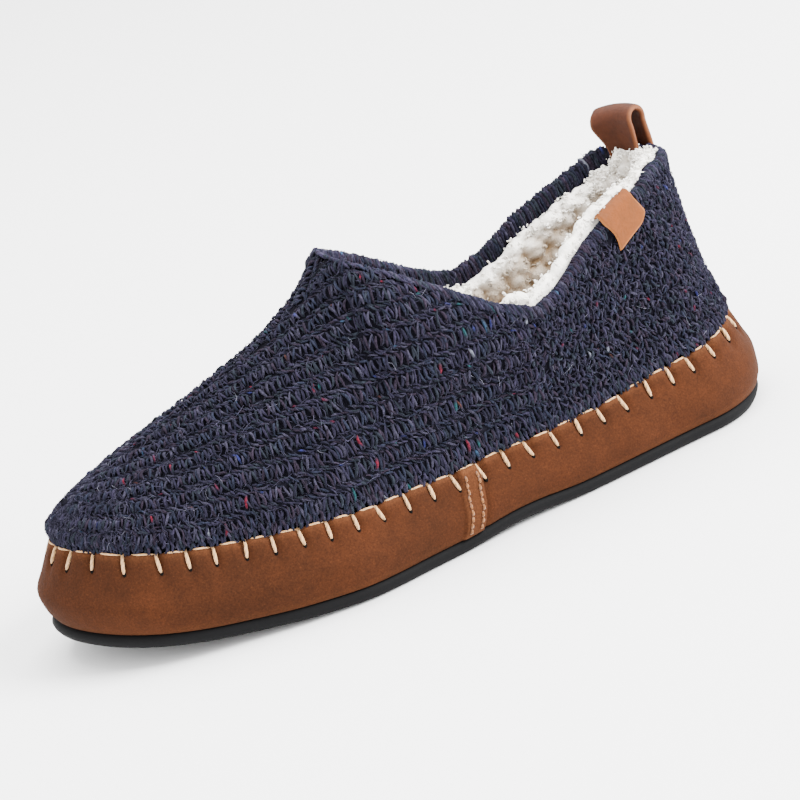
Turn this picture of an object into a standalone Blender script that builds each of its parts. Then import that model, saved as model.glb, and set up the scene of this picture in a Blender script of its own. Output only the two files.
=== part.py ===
"""Moccasin slipper for the left foot: rubber outsole, footbed, suede wrap in two pieces,
hollow knit upper, leather pull loop and leather side tab.

Frame: metres, +Z up, toe toward -X, the outer (lateral) side toward -Y, standing on z = 0.
A station is an angle round the outline: 0 at the heel, half a turn at the toe, going out
along the lateral side and coming back along the medial side. A share is a place along the
length, 0 at the heel and 1 at the toe.
"""
import math

import bmesh
import bpy
import numpy as np

# Driving sizes of the whole slipper
LENGTH = 0.270
BALL_WIDTH = 0.108
HEEL_ROUND = 0.034
TOE_ROUND = 0.0815

# Sole
OUTSOLE_THICKNESS = 0.005
TOE_SPRING = 0.0098
ARCH_RISE = 0.0014
HEEL_BEVEL_HEIGHT = 0.0032
HEEL_BEVEL_LENGTH = 0.020
OUTSOLE_BULGE = 0.35
OUTSOLE_TOP_INSET = 0.0022
OUTSOLE_BOTTOM_INSET = 0.0036
FOOTBED_HEIGHT = 0.0185
FOOTBED_CUP_DEPTH = 0.0018
FOOTBED_CUP_INSET = 0.014
FOOTBED_SIDE = 0.4

# Suede wrap
WRAP_HEIGHT = 0.0328
WRAP_LEAN = 0.0063
TOE_LEAN = 0.0035
WRAP_WALL = 0.0018
LAP_WIDTH = 0.009
LAP_STEP = 0.001
SEAM_PLACE = 0.130
SEAM_LEAN = 0.007

# Knit upper
KNIT_WALL = 0.0035
HEEL_HEIGHT = 0.0945
NOTCH_HEIGHT = 0.0685
THROAT_HEIGHT = 0.1030
TOE_HEIGHT = 0.0505
COLLAR_HALF_WIDTH = 0.0380
HEEL_SETBACK = 0.0145
HEEL_SHIFT = 0.0045
KNIT_PUFF_RISE = 0.0035
KNIT_PUFF_INSET = 0.0064

# Pull loop and side tab
LOOP_WIDTH = 0.0175
LOOP_THICKNESS = 0.0020
LOOP_RISE = 0.0155
LOOP_HOLE = 0.0062
LOOP_OUTER_LEG = 0.0110
LOOP_INNER_LEG = 0.0100
LOOP_TOWARD_TOE = 0.0008
LOOP_PLACE = 0.0085
LOOP_NECK = 0.0010
LOOP_SEAT = 0.0005
TAB_WIDTH = 0.0155
TAB_THICKNESS = 0.0012
TAB_OUTER_LEG = 0.0110
TAB_INNER_LEG = 0.0080
TAB_POINT = 0.0012
TAB_SKEW = 0.0038
TAB_RISE = 0.0018
TAB_PLACE = 0.0455

# Clearances between touching pieces
GAP = 0.0003
SOFT_GAP = 0.0005

# Mesh density
STATIONS = 96
WRAP_STATIONS_FRONT = 50
WRAP_STATIONS_HEEL = 36
PROFILE_ROWS = 9
STRAP_COLUMNS = 4
LOOP_ARC_STEPS = 12
THROAT_DENSE = (0.46, 0.60)

# Outline: share of LENGTH, lateral and medial half widths as shares of BALL_WIDTH.
OUTLINE = np.array([
    # share, lateral, medial
    (0.00, 0.341, 0.338),
    (0.15, 0.366, 0.352),
    (0.30, 0.402, 0.356),
    (0.42, 0.423, 0.340),
    (0.55, 0.461, 0.380),
    (0.65, 0.490, 0.448),
    (0.72, 0.467, 0.496),
    (0.82, 0.438, 0.529),
    (0.90, 0.440, 0.530),
    (1.00, 0.420, 0.560),
])

# Sole line: where the arch rises and where the toe spring starts, as shares of LENGTH.
ARCH_START = 0.32
ARCH_END = 0.52
SPRING_START = 0.585

# Top edge of the wrap: share of LENGTH, height as a share of WRAP_HEIGHT.
WRAP_TOP = np.array([
    # share, height
    (0.00, 1.000),
    (0.20, 0.835),
    (0.40, 0.760),
    (0.60, 0.870),
    (0.80, 0.955),
    (0.90, 0.968),
    (1.00, 0.955),
])

# Wrap section: share of its height, inset as a share of the wrap's lean.
WRAP_SECTION = np.array([
    # height, inset
    (0.00, 0.30),
    (0.16, 0.07),
    (0.36, 0.00),
    (0.60, 0.33),
    (0.82, 0.68),
    (1.00, 1.00),
])

# Rear of the collar: share, inset from the outline as a share of HEEL_SETBACK,
# rise as a share of the way from NOTCH_HEIGHT to HEEL_HEIGHT.
COLLAR_REAR = np.array([
    # share, inset, rise
    (0.000, 0.80, 0.905),
    (0.030, 0.87, 0.935),
    (0.065, 0.96, 0.950),
    (0.130, 0.86, 0.820),
    (0.220, 0.66, 0.495),
    (0.285, 0.44, 0.120),
    (0.325, 0.33, 0.000),
])

# Front of the collar: share of the station, share of the edge, half width as a share of
# COLLAR_HALF_WIDTH, rise as a share of the way from NOTCH_HEIGHT to THROAT_HEIGHT.
COLLAR_FRONT = np.array([
    # station, edge, width, rise
    (0.325, 0.3250, 1.00, 0.000),
    (0.380, 0.3740, 0.93, 0.190),
    (0.430, 0.4200, 0.79, 0.450),
    (0.470, 0.4580, 0.65, 0.660),
    (0.510, 0.4930, 0.48, 0.835),
    (0.540, 0.5160, 0.33, 0.935),
    (0.556, 0.5275, 0.18, 0.985),
    (0.565, 0.5310, 0.00, 1.000),
])

# Ridge of the vamp: share of the station, share of the ridge point, rise as a share of the
# way from TOE_HEIGHT to THROAT_HEIGHT.
RIDGE = np.array([
    # station, place, rise
    (0.565, 0.531, 1.000),
    (0.600, 0.560, 0.850),
    (0.660, 0.620, 0.651),
    (0.740, 0.700, 0.467),
    (0.820, 0.780, 0.316),
    (0.900, 0.855, 0.196),
    (0.960, 0.905, 0.105),
    (1.000, 0.935, 0.030),
])

# How the wall of the upper arrives at its top: share of the station, lean from upright in
# degrees, length of the upper handle as a share of the distance.
ARRIVAL = np.array([
    # station, lean, handle
    (0.000, 3.0, 0.36),
    (0.150, 7.0, 0.36),
    (0.325, 12.0, 0.36),
    (0.400, 30.0, 0.37),
    (0.450, 52.0, 0.37),
    (0.500, 72.0, 0.35),
    (0.565, 90.0, 0.31),
    (1.000, 90.0, 0.31),
])
NOTCH_SHARE = COLLAR_REAR[-1, 0]
PEAK_SHARE = RIDGE[0, 0]
START_LEAN_REAR = 0.32
START_LEAN_FRONT = 0.08
START_HANDLE_REAR = 0.34
START_HANDLE_FRONT = 0.34
FRONT_END = 0.62
HEEL_SHIFT_END = 0.16
TOE_LEAN_START = 0.80
TIP_START = 0.93
TIP_RISE = 0.45


def along(table, column, share):
    """A smooth, never overshooting curve through one column of a table."""
    x, y = table[:, 0], table[:, column]
    step = np.diff(x)
    slope = np.diff(y) / step
    tangent = np.zeros(len(x))
    for i in range(1, len(x) - 1):
        if slope[i - 1] * slope[i] > 0:
            tangent[i] = 2 * slope[i - 1] * slope[i] / (slope[i - 1] + slope[i])
    tangent[0], tangent[-1] = slope[0], slope[-1]
    share = min(max(share, x[0]), x[-1])
    i = min(int(np.searchsorted(x, share, side="right")) - 1, len(x) - 2)
    u = (share - x[i]) / step[i]
    return ((1 + 2 * u) * (1 - u) ** 2 * y[i] + u * (1 - u) ** 2 * step[i] * tangent[i]
            + u * u * (3 - 2 * u) * y[i + 1] - u * u * (1 - u) * step[i] * tangent[i + 1])


def blend(low, high, x):
    """A soft step from 0 at low to 1 at high."""
    u = min(max((x - low) / (high - low), 0.0), 1.0)
    return u * u * (3 - 2 * u)


def share_of(angle):
    """Place along the length of a station."""
    return (1 - math.cos(angle)) / 2


def round_end(distance, reach):
    """Half of an ellipse: how wide an end is at a distance from its tip."""
    u = 1 - min(distance / reach, 1.0)
    return math.sqrt(max(1 - u * u, 0.0))


def centre_line(share):
    """Sideways place of the middle of the outline, toward the medial side."""
    return BALL_WIDTH * (along(OUTLINE, 2, share) - along(OUTLINE, 1, share)) / 2


def half_width(share):
    """Half width of the outline."""
    full = BALL_WIDTH * (along(OUTLINE, 2, share) + along(OUTLINE, 1, share)) / 2
    return full * round_end(share * LENGTH, HEEL_ROUND) * round_end((1 - share) * LENGTH, TOE_ROUND)


def side_of(angle):
    """-1 on the lateral side, +1 on the medial side."""
    return -1.0 if math.sin(angle) >= 0 else 1.0


def middle_shift():
    """Sideways move that puts the middle of the outline's width on y = 0."""
    shares = [i / 200 for i in range(201)]
    low = min(centre_line(s) - half_width(s) for s in shares)
    high = max(centre_line(s) + half_width(s) for s in shares)
    return (low + high) / 2


MIDDLE = middle_shift()


def place(share, sideways):
    """Plan point from a place along the length and a distance from the centre line."""
    return np.array([LENGTH / 2 - share * LENGTH, centre_line(share) + sideways - MIDDLE])


def outline(angle, inset=0.0):
    """Plan point of the outline at a station, moved inward by inset."""
    share = share_of(angle)
    point = place(share, side_of(angle) * half_width(share))
    return point - inset * outward(angle)


def outward(angle):
    """Unit plan normal of the outline at a station, facing out."""
    small = 1e-3
    ends = []
    for turn in (angle - small, angle + small):
        share = share_of(turn)
        ends.append(place(share, side_of(turn) * half_width(share)))
    run = ends[1] - ends[0]
    run /= np.linalg.norm(run)
    return np.array([-run[1], run[0]])


def lift(share):
    """Height of the sole line over the floor: arch and toe spring."""
    arch = 0.0
    if ARCH_START < share < ARCH_END:
        arch = ARCH_RISE * math.sin(math.pi * (share - ARCH_START) / (ARCH_END - ARCH_START)) ** 2
    spring = TOE_SPRING * max((share - SPRING_START) / (1 - SPRING_START), 0.0) ** 2
    return arch + spring


def heel_bevel(share):
    """1 at the very heel, falling to 0 where the sole becomes flat."""
    return max(1 - share * LENGTH / HEEL_BEVEL_LENGTH, 0.0) ** 2


def wrap_base(share):
    """Height of the lower edge of the wrap."""
    return lift(share) + OUTSOLE_THICKNESS + GAP


def wrap_top(share):
    """Height of the upper edge of the wrap."""
    return lift(share) + WRAP_HEIGHT * along(WRAP_TOP, 1, share)


def toe_lean(share):
    """How much further the wrap and the knit above it lean in at the toe."""
    return TOE_LEAN * blend(TOE_LEAN_START, 1.0, share)


def wrap_inset(share, height):
    """Inset of the outer face of the wrap at a height over the floor."""
    part = (height - wrap_base(share)) / (wrap_top(share) - wrap_base(share))
    lean = WRAP_LEAN + toe_lean(share)
    return lean * float(np.interp(part, WRAP_SECTION[:, 0], WRAP_SECTION[:, 1]))


def at(plan, height):
    """A plan point lifted to a height."""
    return np.array([plan[0], plan[1], height])


def top_point(angle):
    """Upper end of the upper's wall at a station: a collar point or a ridge point."""
    share = share_of(angle)
    side = side_of(angle)
    if share <= NOTCH_SHARE:
        inset = HEEL_SETBACK * along(COLLAR_REAR, 1, share)
        height = NOTCH_HEIGHT + (HEEL_HEIGHT - NOTCH_HEIGHT) * along(COLLAR_REAR, 2, share)
        plan = outline(angle, inset)
        plan[1] += HEEL_SHIFT * (1 - blend(0.0, HEEL_SHIFT_END, share))
        return at(plan, height)
    notch = outline(math.acos(1 - 2 * NOTCH_SHARE), HEEL_SETBACK * COLLAR_REAR[-1, 1])
    reach = abs(notch[1] - place(NOTCH_SHARE, 0)[1])
    if share < PEAK_SHARE:
        edge = along(COLLAR_FRONT, 1, share)
        fit = reach + (COLLAR_HALF_WIDTH - reach) * blend(NOTCH_SHARE, PEAK_SHARE, share)
        width = fit * along(COLLAR_FRONT, 2, share)
        height = NOTCH_HEIGHT + (THROAT_HEIGHT - NOTCH_HEIGHT) * along(COLLAR_FRONT, 3, share)
        return at(place(edge, side * width), height)
    ridge = along(RIDGE, 1, share)
    height = TOE_HEIGHT + (THROAT_HEIGHT - TOE_HEIGHT) * along(RIDGE, 2, share)
    return at(place(ridge, 0.0), height)


def wall_curve(angle):
    """The four handles of the upper's outer section above the wrap."""
    share = share_of(angle)
    out = outward(angle)
    start = at(outline(angle, KNIT_PUFF_INSET + toe_lean(share)), wrap_top(share) + KNIT_PUFF_RISE)
    end = top_point(angle)
    front = blend(NOTCH_SHARE, FRONT_END, share)
    lean = START_LEAN_REAR + (START_LEAN_FRONT - START_LEAN_REAR) * front
    handle = START_HANDLE_REAR + (START_HANDLE_FRONT - START_HANDLE_REAR) * front
    rise = end[2] - start[2]
    first = start + handle * rise * at(-lean * out, 1.0)
    tilt = math.radians(along(ARRIVAL, 1, share))
    sideways = np.array([0.0, -side_of(angle)])
    tip = blend(TIP_START, 1.0, share)
    inward = (1 - tip) * (front * sideways - (1 - front) * out) + tip * np.array([1.0, 0.0])
    inward /= np.linalg.norm(inward)
    arrive = at(math.sin(tilt) * inward, math.cos(tilt) + TIP_RISE * tip)
    distance = np.linalg.norm(end - start)
    second = end - along(ARRIVAL, 2, share) * distance * arrive
    return start, first, second, end


def wall_point(angle, v):
    """Outer face of the upper above the wrap: v is 0 at the wrap and 1 at the top."""
    a, b, c, d = wall_curve(angle)
    w = 1 - v
    return w ** 3 * a + 3 * w * w * v * b + 3 * w * v * v * c + v ** 3 * d


def wall_normal(angle, v):
    """Unit normal of the outer face, facing out."""
    small = 2e-3
    low, high = max(v - small, 0.0), min(v + small, 1.0)
    up = wall_point(angle, high) - wall_point(angle, low)
    round_ = wall_point(angle + small, v) - wall_point(angle - small, v)
    normal = np.cross(up, round_)
    return normal / np.linalg.norm(normal)


def colour_material(name, colour, roughness):
    """A plain Principled material."""
    material = bpy.data.materials.new(name)
    material.use_nodes = True
    shader = material.node_tree.nodes["Principled BSDF"]
    shader.inputs["Base Color"].default_value = (*colour, 1.0)
    shader.inputs["Roughness"].default_value = roughness
    shader.inputs["Metallic"].default_value = 0.0
    return material


def add_solid(name, points, faces, material, sharp_degrees=40):
    """A closed mesh object with its faces turned outward."""
    mesh = bpy.data.meshes.new(name)
    mesh.from_pydata([tuple(p) for p in points], [], faces)
    shape = bmesh.new()
    shape.from_mesh(mesh)
    bmesh.ops.triangulate(shape, faces=[f for f in shape.faces if len(f.verts) > 3])
    bmesh.ops.recalc_face_normals(shape, faces=shape.faces)
    if shape.calc_volume(signed=True) < 0:
        bmesh.ops.reverse_faces(shape, faces=shape.faces[:])
    shape.to_mesh(mesh)
    shape.free()
    mesh.materials.append(material)
    mesh.shade_smooth()
    mesh.set_sharp_from_angle(angle=math.radians(sharp_degrees))
    thing = bpy.data.objects.new(name, mesh)
    bpy.context.scene.collection.objects.link(thing)
    return thing


def ring_angles(count):
    """Stations all the way round."""
    return [2 * math.pi * i / count for i in range(count)]


def plate(name, loops, material):
    """A plate from rings stacked from bottom to top, closed by strips across."""
    count = len(loops[0])
    points = [p for loop in loops for p in loop]
    faces = []
    for row in range(len(loops) - 1):
        for i in range(count):
            j = (i + 1) % count
            a, b = row * count, (row + 1) * count
            faces.append((a + i, a + j, b + j, b + i))
    for base in (0, (len(loops) - 1) * count):
        for i in range(count // 2):
            left = (i, i + 1)
            right = ((count - i - 1) % count, (count - i) % count)
            corners = [base + k for k in (left[0], left[1], right[0], right[1])]
            faces.append(tuple(dict.fromkeys(corners)))
    return add_solid(name, points, faces, material)


def make_outsole(material):
    """Rubber sole: bevelled heel, arch and toe spring, its edge inside the wrap."""
    angles = ring_angles(STATIONS)

    def edge(angle, inset, part):
        share = share_of(angle)
        bevel = heel_bevel(share)
        height = lift(share) + part * OUTSOLE_THICKNESS + (1 - part) * bevel * HEEL_BEVEL_HEIGHT
        return at(outline(angle, inset + (1 - part) * bevel * HEEL_BEVEL_HEIGHT), height)

    middle = (OUTSOLE_TOP_INSET + OUTSOLE_BOTTOM_INSET) / 2 - GAP
    return plate("outsole", [
        [edge(a, OUTSOLE_BOTTOM_INSET + 2 * GAP, 0.0) for a in angles],
        [edge(a, middle, OUTSOLE_BULGE) for a in angles],
        [edge(a, OUTSOLE_TOP_INSET, 1.0) for a in angles],
    ], material)


def make_insole(material):
    """Foam footbed that fills the wrap up to the foot, with a shallow cup."""
    angles = ring_angles(STATIONS)

    def edge(angle, part, extra=0.0, sink=0.0):
        share = share_of(angle)
        low, high = wrap_base(share), wrap_top(share)
        height = min(low + part * (high - low), lift(share) + FOOTBED_HEIGHT)
        inset = wrap_inset(share, height) + WRAP_WALL + GAP + extra
        return at(outline(angle, inset), height - sink)

    half_cup = FOOTBED_CUP_INSET / 2
    side_rows = [part for part in WRAP_SECTION[:, 0] if part < FOOTBED_SIDE]
    return plate("insole", [
        *[[edge(a, part) for a in angles] for part in side_rows],
        [edge(a, 1.0) for a in angles],
        [edge(a, 1.0, half_cup, FOOTBED_CUP_DEPTH / 2) for a in angles],
        [edge(a, 1.0, FOOTBED_CUP_INSET, FOOTBED_CUP_DEPTH) for a in angles],
    ], material)


def wrap_piece(name, columns, material):
    """A stretch of the wrap. A column is a function of height that gives a station and
    how far the outer face is raised there."""
    rows = WRAP_SECTION[:, 0]
    points = []
    for column in columns:
        for face in ("outer", "inner"):
            for part in (rows if face == "outer" else rows[::-1]):
                angle, raised = column(part)
                share = share_of(angle)
                low, high = wrap_base(share), wrap_top(share)
                height = low + part * (high - low)
                inset = wrap_inset(share, height) - raised
                if face == "inner":
                    inset = wrap_inset(share, height) + WRAP_WALL
                points.append(at(outline(angle, inset), height))
    ring = 2 * len(rows)
    faces = []
    for i in range(len(columns) - 1):
        for k in range(ring):
            m = (k + 1) % ring
            faces.append((i * ring + k, i * ring + m, (i + 1) * ring + m, (i + 1) * ring + k))
    half = len(rows)
    for base in (0, (len(columns) - 1) * ring):
        for k in range(half - 1):
            faces.append((base + k, base + k + 1, base + ring - 2 - k, base + ring - 1 - k))
    return add_solid(name, points, faces, material)


def seam_angle(part, ahead):
    """Station of the lateral seam at a share of the wrap's height, moved toward the toe."""
    distance = SEAM_PLACE - SEAM_LEAN * part + ahead
    return math.acos(1 - 2 * distance / LENGTH)


def wrap_columns(start, end, count):
    """Columns of a piece that runs between two seam functions of the height."""
    def column(u):
        return lambda part: (start(part) + u * (end(part) - start(part)), 0.0)
    return [column(i / count) for i in range(count + 1)]


def make_wrap(material):
    """Front piece, lapped over the heel piece at both sides of the waist."""
    turn = 2 * math.pi
    step = GAP

    def lap(ahead, raised, back):
        def column(part):
            angle = seam_angle(part, ahead)
            return (turn - angle if back else angle), raised
        return column

    first = [lap(GAP / 2, LAP_STEP, False), lap(LAP_WIDTH - step, LAP_STEP, False)]
    last = [lap(LAP_WIDTH - step, LAP_STEP, True), lap(GAP / 2, LAP_STEP, True)]
    middle = wrap_columns(lambda part: seam_angle(part, LAP_WIDTH),
                          lambda part: turn - seam_angle(part, LAP_WIDTH),
                          WRAP_STATIONS_FRONT)
    front = wrap_piece("front_wrap", first + middle + last, material)
    heel = wrap_piece("heel_wrap", wrap_columns(lambda part: -seam_angle(part, -GAP / 2),
                                                lambda part: seam_angle(part, -GAP / 2),
                                                WRAP_STATIONS_HEEL), material)
    return [front, heel]


def upper_column(angle):
    """Outer section of the upper at a station, from its tucked edge to its top."""
    share = share_of(angle)
    tucked = lift(share) + FOOTBED_HEIGHT + GAP
    points = []
    for height in (tucked, (tucked + wrap_top(share)) / 2, wrap_top(share) + SOFT_GAP):
        inset = wrap_inset(share, height) + WRAP_WALL + SOFT_GAP
        points.append(at(outline(angle, inset), height))
    for i in range(PROFILE_ROWS + 1):
        points.append(wall_point(angle, i / PROFILE_ROWS))
    return points


def ridge_stations(angles):
    """First and last station whose top lies on the ridge."""
    on_ridge = [i for i, a in enumerate(angles) if share_of(a) >= PEAK_SHARE - 1e-9]
    return on_ridge[0], on_ridge[-1]


def upper_angles():
    """Stations of the upper: even turns, doubled round the throat, one on each peak."""
    even = [a for a in ring_angles(STATIONS) if a < math.pi - 1e-6]
    peak = math.acos(1 - 2 * PEAK_SHARE)
    near = min(range(len(even)), key=lambda i: abs(even[i] - peak))
    even[near] = peak
    half = []
    for low, high in zip(even, even[1:] + [math.pi]):
        half.append(low)
        middle = (low + high) / 2
        if THROAT_DENSE[0] < share_of(middle) < THROAT_DENSE[1]:
            half.append(middle)
    return half + [math.pi] + [2 * math.pi - a for a in reversed(half[1:])]


def make_upper(material):
    """Hollow knit upper, open at the collar and underneath."""
    angles = upper_angles()
    columns = [upper_column(a) for a in angles]
    count, rows = len(columns), len(columns[0])
    first, last = ridge_stations(angles)
    shape = bmesh.new()
    outer = []
    for i, column in enumerate(columns):
        line = [shape.verts.new(p) for p in column[:-1]]
        mirrored = count - i
        if first <= mirrored < i:
            line.append(outer[mirrored][-1])
        else:
            line.append(shape.verts.new(column[-1]))
        outer.append(line)
    for i in range(count):
        j = (i + 1) % count
        for r in range(rows - 1):
            corners = list(dict.fromkeys((outer[i][r], outer[j][r], outer[j][r + 1], outer[i][r + 1])))
            shape.faces.new(corners)
    bmesh.ops.recalc_face_normals(shape, faces=shape.faces)
    shape.normal_update()
    at_heel = outer[0][1]
    if at_heel.normal.x < 0:
        bmesh.ops.reverse_faces(shape, faces=shape.faces[:])
        shape.normal_update()
    inner_of = {}
    for vertex in list(shape.verts):
        inner_of[vertex] = np.array(vertex.co) - KNIT_WALL * np.array(vertex.normal)
    for i in range(count):
        for r in range(3):
            vertex = outer[i][r]
            plan = np.array(vertex.co[:2]) - KNIT_WALL * outward(angles[i])
            inner_of[vertex] = at(plan, vertex.co[2])
    inner = {vertex: shape.verts.new(point) for vertex, point in inner_of.items()}
    for i in range(count):
        j = (i + 1) % count
        for r in range(rows - 1):
            ring = (outer[i][r], outer[i][r + 1], outer[j][r + 1], outer[j][r])
            corners = list(dict.fromkeys(inner[v] for v in ring))
            shape.faces.new(corners)
        shape.faces.new((outer[i][0], inner[outer[i][0]], inner[outer[j][0]], outer[j][0]))
        if not first <= i < last:
            a, b = outer[i][-1], outer[j][-1]
            shape.faces.new((a, b, inner[b], inner[a]))
    shape.verts.index_update()
    points = [tuple(v.co) for v in shape.verts]
    faces = [tuple(v.index for v in f.verts) for f in shape.faces]
    shape.free()
    return add_solid("knit_upper", points, faces, material, sharp_degrees=50)


def height_share(angle, drop):
    """The v of the wall at which it has dropped by a length from its top."""
    low, high = 0.0, 1.0
    top = top_point(angle)[2]
    for _ in range(30):
        middle = (low + high) / 2
        if top - wall_point(angle, middle)[2] > drop:
            low = middle
        else:
            high = middle
    return (low + high) / 2


def beside_wall(angle, drop, outside, thickness):
    """A point on a strap's middle surface, on the outer or inner face of the wall."""
    v = height_share(angle, drop)
    normal = wall_normal(angle, v)
    off = SOFT_GAP + thickness / 2
    if not outside:
        off = -(KNIT_WALL + off)
    return wall_point(angle, v) + off * normal


def strap(name, middle_lines, thickness, material):
    """A solid strap from lines of middle points, one line for each column of its width."""
    lines = [np.array(line) for line in middle_lines]
    count = len(lines[0])
    across = lines[-1] - lines[0]
    points = []
    for line in lines:
        forward = np.gradient(line, axis=0)
        normal = np.cross(forward, across)
        normal /= np.linalg.norm(normal, axis=1)[:, None]
        side_a = line + normal * thickness / 2
        side_b = line - normal * thickness / 2
        points.append(np.concatenate([side_a, side_b[::-1]]))
    ring = 2 * count
    flat = np.concatenate(points)
    faces = []
    for c in range(len(lines) - 1):
        for k in range(ring):
            m = (k + 1) % ring
            faces.append((c * ring + k, c * ring + m, (c + 1) * ring + m, (c + 1) * ring + k))
    for base in (0, (len(lines) - 1) * ring):
        for k in range(count - 1):
            faces.append((base + k, base + k + 1, base + ring - 2 - k, base + ring - 1 - k))
    return add_solid(name, flat, faces, material)


def collar_angles(centre, width):
    """Stations spread over a width of the collar's edge round one station."""
    step = 1e-3
    speed = np.linalg.norm(top_point(centre + step) - top_point(centre - step)) / (2 * step)
    half = width / speed / 2
    return [centre + half * (2 * i / STRAP_COLUMNS - 1) for i in range(STRAP_COLUMNS + 1)]


def station_at(distance, side):
    """The station whose collar point lies at a distance along the slipper or sideways."""
    return side * math.acos(1 - 2 * distance / LENGTH)


def loop_line(angle, centre):
    """Middle line of the pull loop in one column: up the outside, round, down the inside."""
    line = [beside_wall(angle, LOOP_OUTER_LEG * k / 4, True, LOOP_THICKNESS) for k in (4, 3, 2, 1)]
    top = top_point(angle)
    out = at(outward(centre), 0.0)
    out /= np.linalg.norm(out)
    radius = (LOOP_HOLE + LOOP_THICKNESS) / 2
    crown = top_point(centre)[2] + LOOP_RISE - radius - LOOP_THICKNESS / 2
    middle = top - out * (KNIT_WALL / 2 + LOOP_TOWARD_TOE)
    middle[2] = crown
    neck = line[-1] + np.array([0, 0, LOOP_OUTER_LEG / 4 + LOOP_NECK])
    line.append(neck)
    for k in range(LOOP_ARC_STEPS + 1):
        turn = math.radians(-25) + k * math.radians(230) / LOOP_ARC_STEPS
        line.append(middle + radius * (math.cos(turn) * out + math.sin(turn) * np.array([0, 0, 1.0])))
    inside = [beside_wall(angle, LOOP_INNER_LEG * k / 3, False, LOOP_THICKNESS) for k in (0.3, 1, 2, 3)]
    inside[0][2] = top[2] + LOOP_SEAT
    return line + inside


def make_pull_loop(material):
    """Folded leather loop over the back of the collar."""
    centre = 2 * math.pi - station_at(LOOP_PLACE / 2, 1)
    lines = [loop_line(a, centre) for a in collar_angles(centre, LOOP_WIDTH)]
    return strap("pull_loop", lines, LOOP_THICKNESS, material)


def tab_line(angle, u, skew):
    """Middle line of the side tab in one column: u is -1 at the heel side and 1 at the toe
    side, skew is the turn toward the heel at the end of the outer leg."""
    leg = TAB_OUTER_LEG + TAB_POINT * u
    line = [beside_wall(angle - skew * k / 4, leg * k / 4, True, TAB_THICKNESS)
            for k in (4, 3, 2, 1, 0.3)]
    top = top_point(angle)
    out = at(outward(angle), 0.0)
    reach = KNIT_WALL / 2 + SOFT_GAP + TAB_THICKNESS / 2
    centre = top - out * KNIT_WALL / 2
    for degrees in (35, 65, 90, 115, 145):
        turn = math.radians(degrees)
        rise = (TAB_RISE + TAB_THICKNESS / 2) * math.sin(turn)
        line.append(centre + reach * math.cos(turn) * out + np.array([0, 0, rise]))
    line += [beside_wall(angle, TAB_INNER_LEG * k / 3, False, TAB_THICKNESS) for k in (0.3, 1, 2, 3)]
    return line


def make_side_tab(material):
    """Bare leather tab folded over the lateral edge of the collar."""
    centre = station_at(TAB_PLACE, 1)
    angles = collar_angles(centre, TAB_WIDTH)
    skew = (angles[-1] - angles[0]) * TAB_SKEW / TAB_WIDTH
    lines = [tab_line(a, 2 * i / STRAP_COLUMNS - 1, skew) for i, a in enumerate(angles)]
    return strap("side_tab", lines, TAB_THICKNESS, material)


def main():
    """Clear the scene and build the slipper."""
    for thing in list(bpy.data.objects):
        bpy.data.objects.remove(thing, do_unlink=True)
    rubber = colour_material("rubber", (0.035, 0.035, 0.036), 0.75)
    foam = colour_material("foam", (0.72, 0.62, 0.47), 0.9)
    suede = colour_material("suede", (0.26, 0.095, 0.030), 0.92)
    wool = colour_material("wool", (0.028, 0.030, 0.062), 0.95)
    leather = colour_material("leather", (0.17, 0.060, 0.024), 0.5)
    hide = colour_material("hide", (0.47, 0.27, 0.12), 0.6)
    pieces = [make_outsole(rubber), make_insole(foam)]
    pieces += make_wrap(suede)
    pieces += [make_upper(wool), make_pull_loop(leather), make_side_tab(hide)]
    slipper = bpy.data.objects.new("slipper", None)
    bpy.context.scene.collection.objects.link(slipper)
    for piece in pieces:
        piece.parent = slipper


main()
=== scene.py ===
"""Looks of a moccasin slipper: rubber sole, fleece footbed and lining, puffy suede wrap with
blanket stitches, chunky tweed knit upper, leather pull loop and leather side tab.

Metres, +Z up, toe toward -X, the outer (lateral) side toward -Y. A station is an angle round
the outline: 0 at the heel, half a turn at the toe, going out along the lateral side. A share
is a place along the length, 0 at the heel and 1 at the toe.
"""
import math

import bpy
import numpy as np
from mathutils import Matrix
from mathutils.kdtree import KDTree


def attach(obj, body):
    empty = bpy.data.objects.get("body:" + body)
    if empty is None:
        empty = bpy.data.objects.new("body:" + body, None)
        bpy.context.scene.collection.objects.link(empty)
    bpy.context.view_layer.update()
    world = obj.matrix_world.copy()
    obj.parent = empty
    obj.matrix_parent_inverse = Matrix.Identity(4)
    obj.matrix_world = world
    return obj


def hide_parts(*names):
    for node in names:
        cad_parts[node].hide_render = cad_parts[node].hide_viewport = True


bl_info = {
    "name": "Moccasin slipper",
    "version": (1, 0, 0),
    "blender": (4, 5, 0),
    "location": "3D View > Sidebar > Slipper",
    "description": "Builds the looks of a knit and suede moccasin slipper piece by piece",
    "category": "Object",
}

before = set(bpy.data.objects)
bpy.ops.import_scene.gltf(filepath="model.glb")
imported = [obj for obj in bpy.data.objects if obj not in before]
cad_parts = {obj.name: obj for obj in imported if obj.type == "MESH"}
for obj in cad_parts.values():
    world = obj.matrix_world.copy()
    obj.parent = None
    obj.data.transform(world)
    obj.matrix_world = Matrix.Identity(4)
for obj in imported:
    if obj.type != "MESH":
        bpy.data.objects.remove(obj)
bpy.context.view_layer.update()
TURN = 2 * math.pi
UPWARD = np.array([0.0, 0.0, 1.0])

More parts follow.
